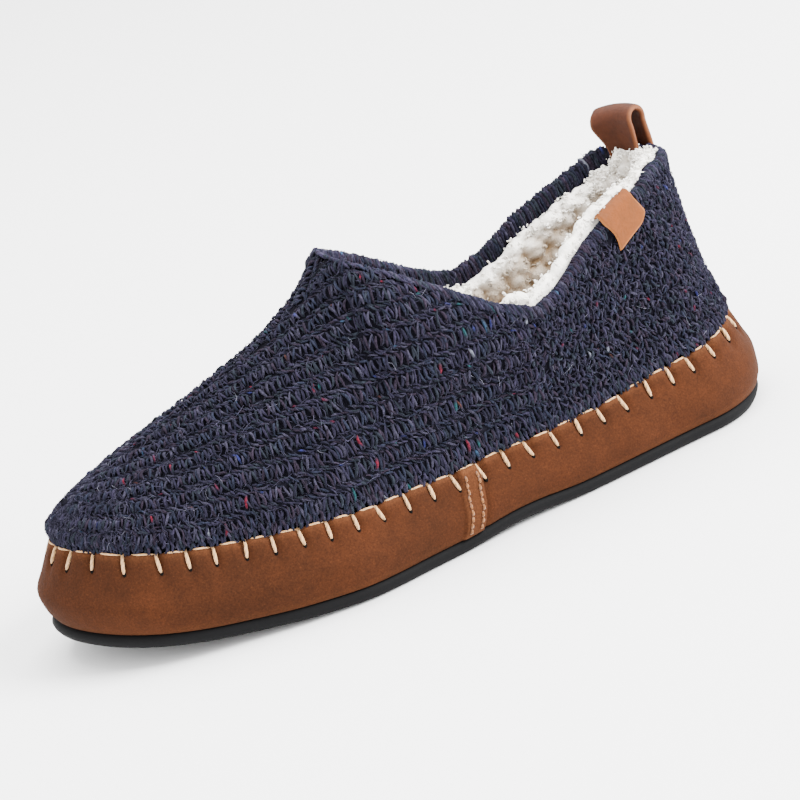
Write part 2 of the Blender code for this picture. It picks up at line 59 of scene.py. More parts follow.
# Sizes shared with the solids
LENGTH = 0.270
BALL_WIDTH = 0.108
HEEL_ROUND = 0.034
TOE_ROUND = 0.0815
OUTSOLE_THICKNESS = 0.005
TOE_SPRING = 0.0098
ARCH_RISE = 0.0014
HEEL_BEVEL_HEIGHT = 0.0032
HEEL_BEVEL_LENGTH = 0.020
OUTSOLE_TOP_INSET = 0.0022
OUTSOLE_BOTTOM_INSET = 0.0036
FOOTBED_HEIGHT = 0.0185
WRAP_HEIGHT = 0.0328
WRAP_LEAN = 0.0063
WRAP_WALL = 0.0018
LAP_WIDTH = 0.009
LAP_STEP = 0.001
SEAM_PLACE = 0.130
SEAM_LEAN = 0.007
KNIT_WALL = 0.0035
HEEL_HEIGHT = 0.0945
NOTCH_HEIGHT = 0.0685
THROAT_HEIGHT = 0.1030
TOE_HEIGHT = 0.0505
COLLAR_HALF_WIDTH = 0.0380
HEEL_SETBACK = 0.0145
HEEL_SHIFT = 0.0045
KNIT_PUFF_RISE = 0.0035
KNIT_PUFF_INSET = 0.0064
TOE_LEAN = 0.0035
LOOP_WIDTH = 0.0175
LOOP_THICKNESS = 0.0020
LOOP_RISE = 0.0155
LOOP_HOLE = 0.0062
LOOP_OUTER_LEG = 0.0110
LOOP_INNER_LEG = 0.0100
LOOP_TOWARD_TOE = 0.0008
LOOP_PLACE = 0.0085
TAB_WIDTH = 0.0155
TAB_THICKNESS = 0.0012
TAB_OUTER_LEG = 0.0110
TAB_INNER_LEG = 0.0080
TAB_POINT = 0.0012
TAB_SKEW = 0.0038
TAB_RISE = 0.0018
TAB_PLACE = 0.0455
GAP = 0.0003
SOFT_GAP = 0.0005
ARCH_START = 0.32
ARCH_END = 0.52
SPRING_START = 0.585
START_LEAN_REAR = 0.32
START_LEAN_FRONT = 0.08
START_HANDLE = 0.34

# share of LENGTH, lateral and medial half widths as shares of BALL_WIDTH
OUTLINE = np.array([
    (0.00, 0.341, 0.338), (0.15, 0.366, 0.352), (0.30, 0.402, 0.356), (0.42, 0.423, 0.340),
    (0.55, 0.461, 0.380), (0.65, 0.490, 0.448), (0.72, 0.467, 0.496), (0.82, 0.438, 0.529),
    (0.90, 0.440, 0.530), (1.00, 0.420, 0.560),
])
# share, height of the wrap's edge as a share of WRAP_HEIGHT
WRAP_TOP = np.array([
    (0.00, 1.000), (0.20, 0.835), (0.40, 0.760), (0.60, 0.870), (0.80, 0.955),
    (0.90, 0.968), (1.00, 0.955),
])
# share of the wrap's height, inset as a share of WRAP_LEAN
WRAP_SECTION = np.array([
    (0.00, 0.30), (0.16, 0.07), (0.36, 0.00), (0.60, 0.33), (0.82, 0.68), (1.00, 1.00),
])
# share, inset as a share of HEEL_SETBACK, rise from NOTCH_HEIGHT to HEEL_HEIGHT
COLLAR_REAR = np.array([
    (0.000, 0.80, 0.905), (0.030, 0.87, 0.935), (0.065, 0.96, 0.950), (0.130, 0.86, 0.820),
    (0.220, 0.66, 0.495), (0.285, 0.44, 0.120), (0.325, 0.33, 0.000),
])
# share, share of the edge, half width over COLLAR_HALF_WIDTH, rise to THROAT_HEIGHT
COLLAR_FRONT = np.array([
    (0.325, 0.3250, 1.00, 0.000), (0.380, 0.3740, 0.93, 0.190), (0.430, 0.4200, 0.79, 0.450),
    (0.470, 0.4580, 0.65, 0.660), (0.510, 0.4930, 0.48, 0.835), (0.540, 0.5160, 0.33, 0.935),
    (0.556, 0.5275, 0.18, 0.985), (0.565, 0.5310, 0.00, 1.000),
])
# share, place of the ridge point, rise from TOE_HEIGHT to THROAT_HEIGHT
RIDGE = np.array([
    (0.565, 0.531, 1.000), (0.600, 0.560, 0.850), (0.660, 0.620, 0.651), (0.740, 0.700, 0.467),
    (0.820, 0.780, 0.316), (0.900, 0.855, 0.196), (0.960, 0.905, 0.105), (1.000, 0.935, 0.030),
])
# share, lean of the wall's top from upright in degrees, handle length
ARRIVAL = np.array([
    (0.000, 3.0, 0.36), (0.150, 7.0, 0.36), (0.325, 12.0, 0.36), (0.400, 30.0, 0.37),
    (0.450, 52.0, 0.37), (0.500, 72.0, 0.35), (0.565, 90.0, 0.31), (1.000, 90.0, 0.31),
])
NOTCH_SHARE = COLLAR_REAR[-1, 0]
PEAK_SHARE = RIDGE[0, 0]


def srgb(red, green, blue):
    """Scene colour of a screen colour given from 0 to 255."""
    values = [v / 255 for v in (red, green, blue)]
    return tuple(v / 12.92 if v <= 0.04045 else ((v + 0.055) / 1.055) ** 2.4 for v in values)


# The slipper's shape, for arrays of stations and shares

def along(table, column, share):
    """A smooth, never overshooting curve through one column of a table."""
    x, y = table[:, 0], table[:, column]
    step = np.diff(x)
    slope = np.diff(y) / step
    before, after = slope[:-1], slope[1:]
    same = before * after > 0
    tangent = np.zeros(len(x))
    tangent[1:-1] = np.where(same, 2 * before * after / np.where(same, before + after, 1.0), 0.0)
    tangent[0], tangent[-1] = slope[0], slope[-1]
    share = np.clip(share, x[0], x[-1])
    i = np.clip(np.searchsorted(x, share, side="right") - 1, 0, len(x) - 2)
    u = (share - x[i]) / step[i]
    return ((1 + 2 * u) * (1 - u) ** 2 * y[i] + u * (1 - u) ** 2 * step[i] * tangent[i]
            + u * u * (3 - 2 * u) * y[i + 1] - u * u * (1 - u) * step[i] * tangent[i + 1])


def blend(low, high, x):
    """A soft step from 0 at low to 1 at high."""
    u = np.clip((x - low) / (high - low), 0.0, 1.0)
    return u * u * (3 - 2 * u)


def share_of(angle):
    """Place along the length of a station."""
    return (1 - np.cos(angle)) / 2


def angle_at(share):
    """Lateral station of a place along the length."""
    return np.arccos(1 - 2 * share)


def station_at(distance):
    """Lateral station of a distance from the heel."""
    return angle_at(distance / LENGTH)


def round_end(distance, reach):
    """Half of an ellipse: how wide an end is at a distance from its tip."""
    u = 1 - np.minimum(distance / reach, 1.0)
    return np.sqrt(np.maximum(1 - u * u, 0.0))


def centre_line(share):
    """Sideways place of the middle of the outline."""
    return BALL_WIDTH * (along(OUTLINE, 2, share) - along(OUTLINE, 1, share)) / 2


def half_width(share):
    """Half width of the outline."""
    full = BALL_WIDTH * (along(OUTLINE, 2, share) + along(OUTLINE, 1, share)) / 2
    return full * round_end(share * LENGTH, HEEL_ROUND) * round_end((1 - share) * LENGTH, TOE_ROUND)


def side_of(angle):
    """-1 on the lateral side, +1 on the medial side."""
    return np.where(np.sin(angle) >= 0, -1.0, 1.0)


def middle_shift():
    """Sideways move that puts the middle of the outline's width on y = 0."""
    shares = np.arange(201) / 200
    low = np.min(centre_line(shares) - half_width(shares))
    high = np.max(centre_line(shares) + half_width(shares))
    return (low + high) / 2


MIDDLE = middle_shift()


def place(share, sideways):
    """Plan point from a place along the length and a distance from the centre line."""
    return np.stack([LENGTH / 2 - share * LENGTH, centre_line(share) + sideways - MIDDLE], -1)


def outward(angle):
    """Unit plan normal of the outline at a station, facing out."""
    small = 1e-3
    ends = []
    for turn in (angle - small, angle + small):
        share = share_of(turn)
        ends.append(place(share, side_of(turn) * half_width(share)))
    run = ends[1] - ends[0]
    run = run / np.linalg.norm(run, axis=-1, keepdims=True)
    return np.stack([-run[..., 1], run[..., 0]], -1)


def outline(angle, inset=0.0):
    """Plan point of the outline at a station, moved inward by inset."""
    share = share_of(angle)
    point = place(share, side_of(angle) * half_width(share))
    return point - np.asarray(inset)[..., None] * outward(angle)


def lift(share):
    """Height of the sole line over the floor: arch and toe spring."""
    part = np.clip((share - ARCH_START) / (ARCH_END - ARCH_START), 0, 1)
    spring = np.maximum((share - SPRING_START) / (1 - SPRING_START), 0.0) ** 2
    return ARCH_RISE * np.sin(math.pi * part) ** 2 + TOE_SPRING * spring


def heel_bevel(share):
    """1 at the very heel, falling to 0 where the sole becomes flat."""
    return np.maximum(1 - share * LENGTH / HEEL_BEVEL_LENGTH, 0.0) ** 2


def wrap_base(share):
    """Height of the lower edge of the wrap."""
    return lift(share) + OUTSOLE_THICKNESS + GAP


def wrap_top(share):
    """Height of the upper edge of the wrap."""
    return lift(share) + WRAP_HEIGHT * along(WRAP_TOP, 1, share)


def toe_lean(share):
    """How much further the wrap and the knit above it lean in at the toe."""
    return TOE_LEAN * blend(0.80, 1.0, share)


def wrap_inset(share, height):
    """Inset of the outer face of the wrap at a height over the floor."""
    part = (height - wrap_base(share)) / (wrap_top(share) - wrap_base(share))
    return (WRAP_LEAN + toe_lean(share)) * np.interp(part, WRAP_SECTION[:, 0], WRAP_SECTION[:, 1])


def at(plan, height):
    """Plan points lifted to a height."""
    return np.concatenate([plan, np.broadcast_to(height, plan.shape[:-1])[..., None]], -1)


def top_point(angle):
    """Upper end of the upper's wall at a station: a collar point or a ridge point."""
    angle = np.asarray(angle, float)
    share = share_of(angle)
    side = side_of(angle)
    inset = HEEL_SETBACK * along(COLLAR_REAR, 1, share)
    rear = at(outline(angle, inset),
              NOTCH_HEIGHT + (HEEL_HEIGHT - NOTCH_HEIGHT) * along(COLLAR_REAR, 2, share))
    rear[..., 1] += HEEL_SHIFT * (1 - blend(0.0, 0.16, share))
    turn = angle_at(NOTCH_SHARE)
    notch = outline(np.where(side < 0, turn, TURN - turn), HEEL_SETBACK * COLLAR_REAR[-1, 1])
    reach = np.abs(notch[..., 1] - place(NOTCH_SHARE, 0.0)[1])
    fit = reach + (COLLAR_HALF_WIDTH - reach) * blend(NOTCH_SHARE, PEAK_SHARE, share)
    front = at(place(along(COLLAR_FRONT, 1, share), side * fit * along(COLLAR_FRONT, 2, share)),
               NOTCH_HEIGHT + (THROAT_HEIGHT - NOTCH_HEIGHT) * along(COLLAR_FRONT, 3, share))
    ridge = at(place(along(RIDGE, 1, share), 0.0),
               TOE_HEIGHT + (THROAT_HEIGHT - TOE_HEIGHT) * along(RIDGE, 2, share))
    share = share[..., None]
    return np.where(share <= NOTCH_SHARE, rear, np.where(share < PEAK_SHARE, front, ridge))


def wall_point(angle, v):
    """Outer face of the upper above the wrap: v is 0 at the wrap and 1 at the top."""
    angle = np.asarray(angle, float)
    share = share_of(angle)
    out = outward(angle)
    start = at(outline(angle, KNIT_PUFF_INSET + toe_lean(share)), wrap_top(share) + KNIT_PUFF_RISE)
    end = top_point(angle)
    front = blend(NOTCH_SHARE, 0.62, share)
    lean = START_LEAN_REAR + (START_LEAN_FRONT - START_LEAN_REAR) * front
    rise = end[..., 2] - start[..., 2]
    first = start + (START_HANDLE * rise)[..., None] * at(-lean[..., None] * out, 1.0)
    tilt = np.radians(along(ARRIVAL, 1, share))
    sideways = np.stack([np.zeros_like(share), -side_of(angle)], -1)
    tip = blend(0.93, 1.0, share)
    mixed = front[..., None] * sideways - (1 - front[..., None]) * out
    inward = (1 - tip[..., None]) * mixed + tip[..., None] * np.array([1.0, 0.0])
    inward = inward / np.linalg.norm(inward, axis=-1, keepdims=True)
    arrive = at(np.sin(tilt)[..., None] * inward, np.cos(tilt) + 0.45 * tip)
    distance = np.linalg.norm(end - start, axis=-1)
    second = end - (along(ARRIVAL, 2, share) * distance)[..., None] * arrive
    v = np.asarray(v, float)[..., None]
    w = 1 - v
    return w ** 3 * start + 3 * w * w * v * first + 3 * w * v * v * second + v ** 3 * end


def unit(vectors):
    """Vectors scaled to length 1."""
    return vectors / np.maximum(np.linalg.norm(vectors, axis=-1, keepdims=True), 1e-12)


def run_along(points):
    """Length along lines of points, from the start of each."""
    steps = np.linalg.norm(np.diff(points, axis=-2), axis=-1)
    return np.concatenate([np.zeros_like(steps[..., :1]), np.cumsum(steps, -1)], -1)


def points_at(marks, run, line):
    """Points of a line, or directions along it, at some lengths from its start."""
    return np.stack([np.interp(marks, run, line[:, k]) for k in range(3)], -1)


def tree_of(points):
    """A search tree of points."""
    points = points.reshape(-1, 3)
    tree = KDTree(len(points))
    for number, spot in enumerate(points):
        tree.insert(spot, number)
    tree.balance()
    return tree


class Wall:
    """The outer face of the upper as a fine grid of points, normals and heights up the wall."""

    def __init__(self, turns=1440, rows=120):
        self.turns, self.rows = turns, rows
        angle = np.linspace(0, TURN, turns + 1)
        self.points = wall_point(angle[:, None], np.linspace(0, 1, rows + 1)[None, :])
        up = np.gradient(self.points, axis=1)
        ring = self.points[:-1]
        ring = np.roll(ring, -1, 0) - np.roll(ring, 1, 0)
        self.normals = unit(np.cross(up, np.concatenate([ring, ring[:1]])))
        self.climb = run_along(self.points)

    def sample(self, grid, angle, v):
        """Values of a grid at stations and places up the wall."""
        a = np.mod(angle, TURN) / TURN * self.turns
        b = np.clip(v, 0, 1) * self.rows
        i = np.minimum(a.astype(int), self.turns - 1)
        j = np.minimum(b.astype(int), self.rows - 1)
        fa, fb = (a - i)[..., None], (b - j)[..., None]
        return ((1 - fa) * ((1 - fb) * grid[i, j] + fb * grid[i, j + 1])
                + fa * ((1 - fb) * grid[i + 1, j] + fb * grid[i + 1, j + 1]))

    def total(self, angle):
        """Length of the wall from the wrap to its top."""
        return np.interp(np.mod(angle, TURN), np.linspace(0, TURN, self.turns + 1), self.climb[:, -1])

    def v_at(self, angle, distance):
        """Place up the wall at a distance from the wrap, for flat arrays."""
        a = np.mod(angle, TURN) / TURN * self.turns
        i = np.minimum(a.astype(int), self.turns - 1)
        f = (a - i)[:, None]
        climb = (1 - f) * self.climb[i] + f * self.climb[i + 1]
        j = np.clip((climb < distance[:, None]).sum(1) - 1, 0, self.rows - 1)
        pick = np.arange(len(j))
        low, high = climb[pick, j], climb[pick, j + 1]
        return np.clip((j + (distance - low) / np.maximum(high - low, 1e-9)) / self.rows, 0, 1)


WALL = Wall()
WALL_TREE = tree_of(WALL.points)


def wobble(x, y, seed, size):
    """Soft uneven values from -1 to 1 over two lengths, with bumps of about one size."""
    rng = np.random.default_rng(seed)
    total = 0.0
    for _ in range(7):
        turn = rng.uniform(0, TURN)
        scale = rng.uniform(0.6, 1.5) * TURN / size
        across = math.cos(turn) * x + math.sin(turn) * y
        total = total + np.sin(scale * across + rng.uniform(0, TURN))
    return total / 4


# Meshes from arrays

def grid_faces(columns, rows, round_columns=False, round_rows=False):
    """Four-sided faces over a grid of points, one column after another."""
    i = np.arange(columns if round_columns else columns - 1)
    j = np.arange(rows if round_rows else rows - 1)
    i, j = np.meshgrid(i, j, indexing="ij")
    ahead, above = (i + 1) % columns, (j + 1) % rows
    corners = [i * rows + j, ahead * rows + j, ahead * rows + above, i * rows + above]
    return np.stack(corners, -1).reshape(-1, 4)


def signed_volume(points, faces):
    """Volume inside closed faces, negative where they face inward."""
    total = 0.0
    for group in faces:
        corners = points[group]
        for k in range(1, group.shape[1] - 1):
            total += np.einsum("ij,ij->", corners[:, 0], np.cross(corners[:, k], corners[:, k + 1]))
    return total


def mesh_piece(name, points, faces, finish, values=None, uv=None, closed=True):
    """An object from points and groups of faces, with named values at its points."""
    points = points.reshape(-1, 3)
    faces = [np.asarray(group) for group in faces]
    if closed and signed_volume(points, faces) < 0:
        faces = [group[:, ::-1] for group in faces]
        uv = None if uv is None else uv.reshape(-1, 4, 2)[:, ::-1].reshape(-1, 2)
    mesh = bpy.data.meshes.new(name)
    mesh.vertices.add(len(points))
    mesh.vertices.foreach_set("co", points.astype(np.float32).ravel())
    corners = np.concatenate([group.ravel() for group in faces])
    sizes = np.concatenate([np.full(len(group), group.shape[1]) for group in faces])
    mesh.loops.add(len(corners))
    mesh.loops.foreach_set("vertex_index", corners.astype(np.int32))
    mesh.polygons.add(len(sizes))
    mesh.polygons.foreach_set("loop_start", np.concatenate([[0], np.cumsum(sizes)[:-1]]).astype(np.int32))
    mesh.update(calc_edges=True)
    for key, value in (values or {}).items():
        if value.ndim > 1 and value.shape[-1] == 3:
            colour = np.concatenate([value.reshape(-1, 3), np.ones((len(points), 1))], 1)
            mesh.color_attributes.new(key, "FLOAT_COLOR", "POINT").data.foreach_set(
                "color", colour.astype(np.float32).ravel())
        else:
            mesh.attributes.new(key, "FLOAT", "POINT").data.foreach_set(
                "value", value.astype(np.float32).ravel())
    if uv is not None:
        layer = mesh.uv_layers.new(name="UVMap")
        flat = np.zeros((len(corners), 2), np.float32)
        flat[:len(uv)] = uv
        layer.data.foreach_set("uv", flat.ravel())
    mesh.validate()
    mesh.shade_smooth()
    mesh.materials.append(finish)
    thing = bpy.data.objects.new(name, mesh)
    bpy.context.scene.collection.objects.link(thing)
    return thing


def tube_points(paths, radii, reference, sides):
    """Rings of points round many paths of one number of steps each."""
    tangent = unit(np.gradient(paths, axis=1))
    side = unit(np.cross(tangent, reference[:, None, :]))
    other = np.cross(side, tangent)
    turn = TURN * np.arange(sides) / sides
    ring = np.cos(turn)[:, None] * side[:, :, None] + np.sin(turn)[:, None] * other[:, :, None]
    return paths[:, :, None] + radii[:, :, None, None] * ring


def tube_piece(name, groups, finish):
    """One object from groups of tubes: each is paths, radii, reference, sides, tint."""
    points, quads, uvs, tints, caps = [], [], [], [], {}
    start = 0
    for paths, radii, reference, sides, tint in groups:
        rings = tube_points(paths, radii, reference, sides)
        count, steps = paths.shape[:2]
        here = np.arange(sides)
        ahead = (here + 1) % sides
        first = sides * np.arange(steps - 1)[:, None]
        one = np.stack([first + here, first + ahead, first + sides + ahead, first + sides + here], -1)
        base = start + np.arange(count)[:, None] * steps * sides
        quads.append((base[:, :, None, None] + one).reshape(-1, 4))
        run = run_along(paths) * 1000 + 37.0 * np.arange(count)[:, None] % 91
        left = np.broadcast_to(here / sides, (count, steps - 1, sides))
        low, high = (np.broadcast_to(ring[:, :, None], left.shape) for ring in (run[:, :-1], run[:, 1:]))
        corners = ((low, left), (low, left + 1 / sides), (high, left + 1 / sides), (high, left))
        uvs.append(np.stack([np.stack(corner, -1) for corner in corners], -2).reshape(-1, 2))
        caps.setdefault(sides, []).extend([base + here[::-1], base + (steps - 1) * sides + here])
        points.append(rings.reshape(-1, 3))
        tint = tint.reshape(count, -1, 3) * np.ones((1, steps, 1))
        tints.append(np.repeat(tint, sides, axis=1).reshape(-1, 3))
        start += count * steps * sides
    uv = np.concatenate(uvs)
    faces = [np.concatenate(quads)] + [np.concatenate(ends) for ends in caps.values()]
    return mesh_piece(name, np.concatenate(points), faces, finish, {"tint": np.concatenate(tints)}, uv)


def dress(thing, slot, *nodes):
    """Ride a piece on the slipper, in place of the plain solids that it stands for."""
    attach(thing, "root")
    if nodes:
        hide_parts(*nodes)
    return thing


# Materials

class Channel:
    """A socket that does arithmetic: an expression on it adds its Math nodes."""

    def __init__(self, finish, socket):
        self.finish, self.socket = finish, socket

    def math(self, operation, *others):
        node = self.finish.node("ShaderNodeMath", {"operation": operation},
                                dict(enumerate((self, *others))))
        return Channel(self.finish, node.outputs[0])

    def __add__(self, other):
        return self.math("ADD", other)

    def __mul__(self, other):
        return self.math("MULTIPLY", other)

    def __sub__(self, other):
        return self.math("SUBTRACT", other)

    def __rsub__(self, other):
        return (self * -1.0) + other

    __radd__ = __add__

    def wave(self):
        """Sine of the value."""
        return self.math("SINE")

    def step(self, low, high):
        """A clamped ramp from 0 at low to 1 at high."""
        node = self.finish.node("ShaderNodeMapRange", {"interpolation_type": "SMOOTHSTEP"},
                                {0: self, 1: low, 2: high, 3: 0.0, 4: 1.0})
        return Channel(self.finish, node.outputs[0])


class Finish:
    """A Principled material with shader maths."""

    def __init__(self, name, **constants):
        self.material = bpy.data.materials.new(name)
        self.material.use_nodes = True
        self.tree = self.material.node_tree
        self.shader = self.tree.nodes["Principled BSDF"]
        for key, value in constants.items():
            self.shader.inputs[key.replace("_", " ")].default_value = value

    def node(self, kind, settings=None, inputs=None):
        """Add a node: settings first, then the values or links of its sockets."""
        node = self.tree.nodes.new(kind)
        for key, value in (settings or {}).items():
            setattr(node, key, value)
        for key, value in (inputs or {}).items():
            socket = node.inputs[key] if isinstance(key, int) else next(
                s for s in node.inputs if s.name == key and s.enabled)
            self.join(value, socket)
        return node

    def join(self, value, socket):
        """Link a socket or channel, or set a plain value."""
        if isinstance(value, Channel):
            value = value.socket
        if isinstance(value, bpy.types.NodeSocket):
            self.tree.links.new(value, socket)
        elif isinstance(value, tuple) and len(value) == 3 and socket.type == "RGBA":
            socket.default_value = (*value, 1.0)
        else:
            socket.default_value = value

    def place(self):
        """Where on the object a point lies, in metres."""
        return self.node("ShaderNodeTexCoord").outputs["Object"]

    def noise(self, size, detail=3.0, roughness=0.55, where=None):
        """Noise with features of about a size in metres."""
        node = self.node("ShaderNodeTexNoise", {}, {
            "Vector": where or self.place(), "Scale": 1 / size, "Detail": detail, "Roughness": roughness})
        return Channel(self, node.outputs[0])

    def cells(self, size):
        """Distance to the nearest of scattered points a size apart."""
        node = self.node("ShaderNodeTexVoronoi", {}, {"Vector": self.place(), "Scale": 1 / size})
        return Channel(self, node.outputs["Distance"])

    def value(self, name):
        """A value kept at the mesh's points."""
        return Channel(self, self.node("ShaderNodeAttribute", {"attribute_name": name}).outputs["Fac"])

    def colour(self, name):
        """A colour kept at the mesh's points."""
        return self.node("ShaderNodeAttribute", {"attribute_name": name}).outputs["Color"]

    def mix(self, a, b, factor):
        """A colour between two colours."""
        node = self.node("ShaderNodeMix", {"data_type": "RGBA"}, {"Factor": factor, "A": a, "B": b})
        return next(s for s in node.outputs if s.enabled)

    def scaled(self, colour, factor):
        """A colour made lighter or darker by a channel."""
        node = self.node("ShaderNodeVectorMath", {"operation": "SCALE"}, {0: colour, "Scale": factor})
        return node.outputs[0]

    def along_uv(self):
        """The two UV values as channels."""
        uv = self.node("ShaderNodeTexCoord").outputs["UV"]
        node = self.node("ShaderNodeSeparateXYZ", {}, {0: uv})
        return Channel(self, node.outputs[0]), Channel(self, node.outputs[1])

    def feed(self, name, value):
        """Drive one of the shader's sockets."""
        self.join(value, self.shader.inputs[name])

    def bump(self, height, depth, strength=1.0):
        """Raise the surface by a height channel times a depth in metres."""
        node = self.node("ShaderNodeBump", {}, {"Height": height, "Distance": depth, "Strength": strength})
        self.feed("Normal", node.outputs[0])


def suede_finish(colours):
    """Brown suede with a short nap, mottled, lighter where it is rubbed."""
    f = Finish("suede", Roughness=0.92, Sheen_Weight=0.10, Sheen_Roughness=0.5,
               Sheen_Tint=(*colours.suede_light, 1.0), Specular_IOR_Level=0.06)
    blotch = f.noise(0.028, 3.0).step(0.32, 0.68)
    cloud = f.noise(0.006, 4.0, 0.6).step(0.30, 0.70)
    nap = f.noise(0.0007, 3.0, 0.7)
    body = f.mix(tuple(colours.suede_dark), tuple(colours.suede), blotch * 0.55 + cloud * 0.45)
    body = f.mix(body, tuple(colours.suede_light), f.value("rub") * 0.75 + nap.step(0.60, 0.85) * 0.25)
    f.feed("Base Color", f.scaled(body, nap * 1.5 + 0.25))
    f.feed("Roughness", 0.86 + nap * 0.12)
    f.bump(nap + f.noise(0.0022, 2.0) * 0.8, 0.00022, 0.8)
    return f.material


def rubber_finish(colours):
    """Matte moulded rubber."""
    f = Finish("sole_rubber", Roughness=0.72, Specular_IOR_Level=0.08)
    grain = f.noise(0.0006, 2.0)
    cloud = f.noise(0.02, 3.0)
    f.feed("Base Color", f.scaled(tuple(colours.sole), cloud * 0.35 + grain * 0.25 + 0.72))
    f.feed("Roughness", 0.62 + grain * 0.2)
    f.bump(grain, 0.00008, 0.6)
    return f.material


def yarn_finish(name, fibre, depth):
    """Wool yarn: tinted at its points, with fine fibres that twist along it."""
    f = Finish(name, Roughness=0.95, Sheen_Weight=0.05, Sheen_Roughness=0.6,
               Sheen_Tint=(0.30, 0.32, 0.45, 1.0), Specular_IOR_Level=0.03)
    u, v = f.along_uv()
    twisted = f.node("ShaderNodeCombineXYZ", {}, {0: u * 0.35, 1: v * 5.0 + u * 0.55}).outputs[0]
    strand = f.noise(1 / fibre, 3.0, 0.7, where=twisted)
    speck = f.noise(0.0016, 3.0, 0.8)
    shade = strand.step(0.30, 0.72) * 1.3 + speck.step(0.35, 0.75) * 0.9 + 0.2
    f.feed("Base Color", f.scaled(f.colour("tint"), shade))
    f.bump(strand, depth, 0.9)
    return f.material


def ground_finish(colours):
    """The back of the knit, seen between the stitches: navy wool darkened with painted shade."""
    f = Finish("knit_ground", Roughness=1.0, Specular_IOR_Level=0.05)
    grain = f.noise(0.0012, 4.0, 0.75)
    # Painted shade: the navy is scaled well down, nearly to black in places, as the shade between the
    # stitches
    f.feed("Base Color", f.scaled(tuple(colours.navy), grain * 0.9 + 0.05))
    f.bump(grain, 0.0006, 1.0)
    return f.material


def fleece_finish(colours):
    """Curly cream fleece, white on its tufts, with painted shade: tan between the tufts and deeper inside
    the shoe.
    """
    f = Finish("fleece", Roughness=1.0, Sheen_Weight=0.3, Sheen_Roughness=0.7, Specular_IOR_Level=0.05)
    curl = f.noise(0.0013, 3.0, 0.7)
    # Painted shade: the fleece turns tan in the hollows between its tufts
    high = f.value("tuft") + (curl - 0.5) * 0.5
    body = f.mix(tuple(colours.painted_fleece_shade), tuple(colours.fleece), high.step(-0.1, 1.0))
    # Painted shade: darker again deeper inside the shoe, least on the tufts
    body = f.mix(body, tuple(colours.painted_fleece_shade), f.value("painted_depth_shade") * (0.92 - high * 0.32))
    f.feed("Base Color", body)
    f.bump(curl, 0.0007, 0.9)
    return f.material


def curl_finish():
    """Loose curls that stand on the fleece."""
    f = Finish("fleece_curls", Roughness=1.0, Sheen_Weight=0.3, Specular_IOR_Level=0.05)
    f.feed("Base Color", f.colour("tint"))
    f.bump(f.noise(0.0004), 0.0001)
    return f.material


def thread_finish(name, plies, twist, gloss=0.2):
    """Plied thread, tinted at its points."""
    f = Finish(name, Roughness=0.75, Sheen_Weight=gloss, Specular_IOR_Level=gloss)
    u, v = f.along_uv()
    ply = ((v * plies + u * twist) * TURN).wave() * 0.5 + 0.5
    fuzz = f.noise(0.0003, 2.0)
    f.feed("Base Color", f.scaled(f.colour("tint"), ply * 0.35 + fuzz * 0.3 + 0.6))
    f.bump(ply, 0.00025, 0.9)
    return f.material


def leather_finish(name, face, raw, paler_tone, roughness):
    """Smooth leather with fine pores, a paler raw edge and soft wear."""
    f = Finish(name, Roughness=roughness, Specular_IOR_Level=0.12)
    pores = f.cells(0.0011)
    cloud = f.noise(0.006, 4.0, 0.6).step(0.3, 0.7)
    streak = f.noise(0.0016, 3.0, 0.7)
    body = f.mix(tuple(face), tuple(paler_tone), cloud * 0.6 + streak * 0.25)
    body = f.mix(body, tuple(raw), f.value("edge"))
    f.feed("Base Color", f.scaled(body, streak * 0.4 + 0.8))
    f.feed("Roughness", roughness - 0.06 + cloud * 0.14)
    f.bump(pores * 0.6 + streak * 0.5, 0.00016, 0.7)
    return f.material


# Sizes and colours that a user would change

def size(name, description, default):
    """A length property in metres."""
    return bpy.props.FloatProperty(name=name, description=description, default=default, min=0.0,
                                   max=0.1, precision=4, subtype="DISTANCE", unit="LENGTH")


def tone(name, description, default):
    """A colour property."""
    return bpy.props.FloatVectorProperty(name=name, description=description, default=default,
                                         size=3, min=0.0, max=1.0, subtype="COLOR")


class SlipperSizes(bpy.types.PropertyGroup):
    """Sizes of the slipper's soft detail."""
    rib_pitch: size("Rib pitch", "From one knit rib to the next over the vamp", 0.0076)
    rib_pitch_toe: size("Rib pitch at the toe", "From one knit rib to the next at the toe", 0.0058)
    rear_pitch: size("Rear row pitch", "From one knit row to the next behind the notch", 0.0023)
    yarn_radius: size("Yarn radius", "Half the thickness of the wool yarn", 0.00052)
    rim_radius: size("Rim radius", "Half the thickness of the rolled knit edge", 0.0020)
    stitch_pitch: size("Stitch pitch", "From one blanket stitch to the next", 0.0096)
    stitch_length: size("Stitch length", "Height of a blanket stitch below the edge", 0.0052)
    stitch_radius: size("Stitch radius", "Half the thickness of the blanket thread", 0.00058)
    scallop: size("Scallop", "How far a blanket stitch pulls the edge of the suede down", 0.0009)
    fleece_depth: size("Fleece depth", "Thickness of the lining inside the knit", 0.0040)
    tuft_size: size("Tuft size", "From one fleece tuft to the next", 0.0054)
    tread_depth: size("Tread depth", "Depth of the waves under the sole", 0.0005)


